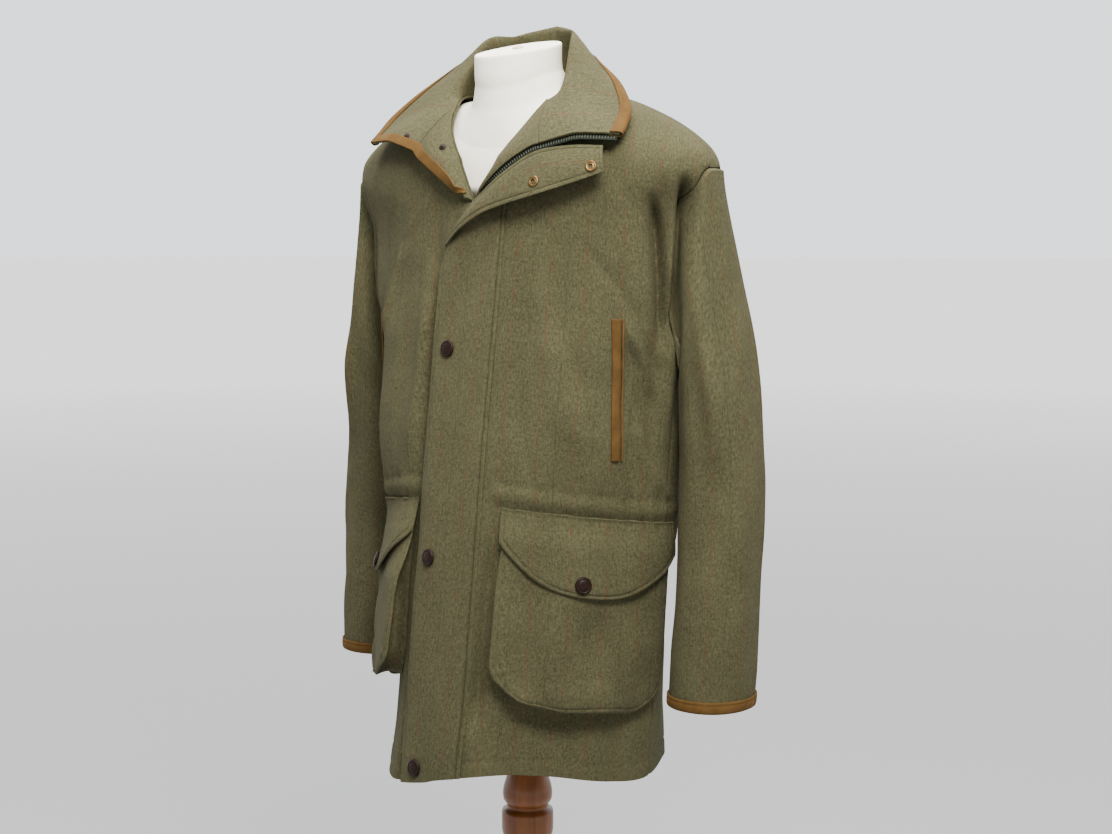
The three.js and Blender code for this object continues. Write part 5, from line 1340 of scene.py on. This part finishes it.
every, low = slice(None), slice(12, None)
stormLines = [gridLine(stormPoints, every, c, -1) for c in (35, 6)]
stormLines += [gridLine(turnedPoints, every, c, -1) for c in (4, -5)]
stitchRows("stitches_storm", stormLines)
pocketLines = []
for side in (1, -1):
    flap, bag = flapPanel(side)[0], pocketPanel(side)[0]
    pocketLines.append(gridLine(flap, 5, slice(6, -6), -side))
    pocketLines += [gridLine(bag, low, 14, -side), gridLine(bag, low, -15, -side)]
    pocketLines.append(gridLine(bag, 14, slice(18, -18), -side))
stitchRows("stitches_pocket", pocketLines)
print("stitches laid")


# the dress form, its post and base

formRings = table("z half front back", [
    (800, 122, 88, 84), (850, 150, 104, 96), (930, 160, 110, 100), (1020, 148, 104, 90), (1110, 154, 106, 92),
    (1210, 174, 104, 100), (1300, 188, 90, 103), (1370, 192, 78, 96)])
formNeck = {"half": 52, "deep": 54, "lean": 17, "zFront": 1560, "zBack": 1586, "flare": 0.36, "root": 1511,
            "rootFall": 30, "rootRise": 10}
formTop = {"under": 2.0, "inside": 32, "narrow": 0.16}  # below the jacket's shoulders


def formGrid():
    turns = np.linspace(0, 2 * math.pi, 97)
    s, c = np.sin(turns), np.cos(turns)
    lines = []
    for k, z in enumerate(np.concatenate([[800], np.linspace(812, 1320, 34)])):
        inset = 0.9 if k == 0 else 1.0
        size = {key: float(lookUp(formRings, "z", key, np.array([z]))[0])
                for key in ("half", "front", "back")}
        deep = np.where(c >= 0, size["front"], size["back"])
        lines.append(np.stack([size["half"] * s, -deep * c, np.full_like(s, z)], -1) * [inset, inset, 1])
    degrees = np.degrees(turns)
    for level in np.concatenate([[7.6], np.linspace(8, 10.7, 24)]):
        seated = float(ease((level - 8.2) / 0.8))
        row = np.full_like(degrees, level)
        below = mix(formTop["inside"], cloth["thick"] + formTop["under"], seated)
        p = plainBody(row, degrees) - across(plainBody, row, degrees) * below
        p[:, 0] *= mix(mix(0.9, 0.96, level - 7.6), 1, seated)
        p[:, 1] *= 1 - formTop["narrow"] * ease((np.abs(c) - 0.1) / 0.5)
        p[:, 2] -= 5 * ease((c - 0.1) / 0.6) + mix(10, 0, seated)
        lines.append(p)
    top = mix(formNeck["zBack"], formNeck["zFront"], (c + 1) / 2)
    root = formNeck["root"] - formNeck["rootFall"] * np.maximum(0, c) ** 1.5
    root = root + formNeck["rootRise"] * np.maximum(0, -c)
    lifts = np.concatenate([np.linspace(0.08, 0.96, 22), [0.985, 1.0, 1.004]])
    pulls = np.concatenate([np.ones(22), [0.99, 0.965, 0.93]])  # the top edge is rounded over
    for lift, pull in zip(lifts, pulls):
        wide = 1 + formNeck["flare"] * (1 - math.sqrt(float(clamp(lift * 2))))
        lean = formNeck["lean"] * float(ease(lift + 0.3))
        x, y = formNeck["half"] * wide * s * pull, -lean - formNeck["deep"] * wide * c * pull
        lines.append(np.stack([x, y, mix(root, top, min(lift, 1.0))], -1))
    return np.array(lines)


formPoints = formGrid()
bm = gridFaces(formPoints, closed=True)
for level in (formPoints[0], formPoints[-1]):  # close the foot and the neck
    middle = Vector(level[:-1].mean(0)) * mm
    near = [e for e in bm.edges if e.is_boundary and abs((e.verts[0].co - middle).z) < 0.03]
    bmesh.ops.holes_fill(bm, edges=near, sides=0)
bmesh.ops.recalc_face_normals(bm, faces=bm.faces)
obj = newObject("form_cover", bm, looks["form_cover"], "form_cover")
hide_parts("dress_form")

post = {"steps": 64, "profile": [
    (0, 32.3), (42, 32.3), (42.5, 40), (39, 52), (35, 66), (31.5, 90), (27.5, 115), (25, 140), (24.2, 220),
    (23.6, 330), (23, 440), (23, 500), (24.3, 560), (26.5, 588), (27.8, 597), (31, 603.5), (32.3, 610),
    (32.3, 631), (31.4, 634.6), (27, 636.4), (25.6, 638.4), (25.6, 641), (27.4, 643.5), (30.2, 648),
    (31, 654), (30.6, 660), (29.4, 666), (25.6, 678), (22.4, 688), (19, 696), (16.8, 704), (16, 712),
    (16, 799.7), (0, 799.7)]}
base = {"steps": 64, "profile": [
    (0, 0), (181.8, 0), (184, 1.2), (185, 3.2), (185, 22), (184.2, 25.6), (181.6, 28.8), (178.4, 31),
    (174, 31.8), (170, 32), (0, 32)]}
plug = {"steps": 24, "above": 0.5, "profile": [
    (0, 0), (7, 0), (7, 1.6), (6.5, 2.3), (5, 2.9), (4.2, 3), (3.4, 2.2), (0, 1.9)]}
upright = np.array([0.0, 0.0, 1.0])
fastener("post", post, np.zeros(3), upright, "turned_wood")
fastener("base", base, np.zeros(3), upright, "turned_wood")
top = formPoints[-3, :-1].mean(0)
slope = unit(np.array([0, formNeck["zFront"] - formNeck["zBack"], 2 * formNeck["deep"]]))
fastener("neck_plug", plug, top + slope * plug["above"], slope, "plug_wood", "turned_wood")
print("form and stand made")


# camera at the photograph's angle, a floor with painted shade near the stand, and soft light

view = {"place": (1.2920, -1.7065, 1.3278), "turn": 36.18, "down": 3.94, "lens": 56.52, "shiftY": -0.04}
lens = bpy.data.cameras.new("camera")
lens.lens, lens.sensor_width, lens.shift_y = view["lens"], 36.0, view["shiftY"]
camera = bpy.data.objects.new("camera", lens)
camera.location = view["place"]
camera.rotation_euler = (math.radians(90 - view["down"]), 0, math.radians(view["turn"]))
bpy.context.collection.objects.link(camera)
bpy.context.scene.camera = camera

# the floor's colour runs from grey near the stand to near white far off; the grey near the stand is painted
# shade
room = {"reach": 400.0, "near": (0.40, 0.405, 0.41, 1), "far": (0.99, 0.99, 0.99, 1),
        "top": (1.0, 0.985, 0.96, 1), "low": (0.93, 0.97, 1.0, 1), "topBright": 2.4, "backBright": 1.88,
        "frontBright": 0.09}


def backdrop():
    bm = bmesh.new()
    bmesh.ops.create_grid(bm, x_segments=2, y_segments=2, size=room["reach"])
    mesh = bpy.data.meshes.new("floor")
    bm.to_mesh(mesh)
    bm.free()
    material, shader, add = newMaterial("floor", 0.9, specular=0.1)
    place = add("ShaderNodeTexCoord").outputs["Object"]
    away = add("ShaderNodeVectorMath", {0: place}, operation="LENGTH").outputs["Value"]
    # painted shade: the floor darkens towards the stand
    colour = blendColour(add, spread(add, away, 1.0, 16.0), room["near"], room["far"])
    material.node_tree.links.new(colour, shader.inputs["Base Color"])
    mesh.materials.append(material)
    obj = bpy.data.objects.new("floor", mesh)
    bpy.context.collection.objects.link(obj)


backdrop()


def softLight(name, place, aim, size, power, colour):
    lamp = bpy.data.lights.new(name, "AREA")
    lamp.shape, lamp.size, lamp.energy, lamp.color = "DISK", size, power, colour
    obj = bpy.data.objects.new(name, lamp)
    obj.location = place
    obj.rotation_euler = (Vector(aim) - Vector(place)).to_track_quat("-Z", "Y").to_euler()
    bpy.context.collection.objects.link(obj)


softLight("key", (1.05, -0.95, 2.5), (0.1, 0, 2.1), 0.8, 97, (1.0, 0.97, 0.92))
softLight("top", (0.0, -0.1, 2.8), (0, 0, 1.3), 1.0, 58, (1.0, 0.99, 0.97))
world = bpy.data.worlds.new("studio")
world.use_nodes = True
shade = world.node_tree.nodes["Background"]
put = nodeSetter(world.node_tree)
way = put("ShaderNodeSeparateXYZ", {0: put("ShaderNodeTexCoord").outputs["Generated"]})
behind = maths(put, "MULTIPLY_ADD", way.outputs[0], -0.59, maths(put, "MULTIPLY", way.outputs[1], 0.81))
behind = put("ShaderNodeMapRange", {
    "Value": behind, "From Min": -0.2, "From Max": 0.75, "To Min": room["frontBright"],
    "To Max": room["backBright"]}, interpolation_type="SMOOTHSTEP").outputs[0]
skyline = spread(put, way.outputs[2], 0.02, 0.24, interpolation_type="SMOOTHSTEP")
low = put("ShaderNodeMapRange", {"Value": skyline, "To Min": room["backBright"], "To Max": behind}).outputs[0]
rise = spread(put, way.outputs[2], 0.25, 0.95)
world.node_tree.links.new(blendColour(put, rise, room["low"], room["top"]), shade.inputs[0])
bright = put("ShaderNodeMapRange", {"Value": rise, "To Min": low, "To Max": room["topBright"]}).outputs[0]
world.node_tree.links.new(bright, shade.inputs[1])
bpy.context.scene.world = world
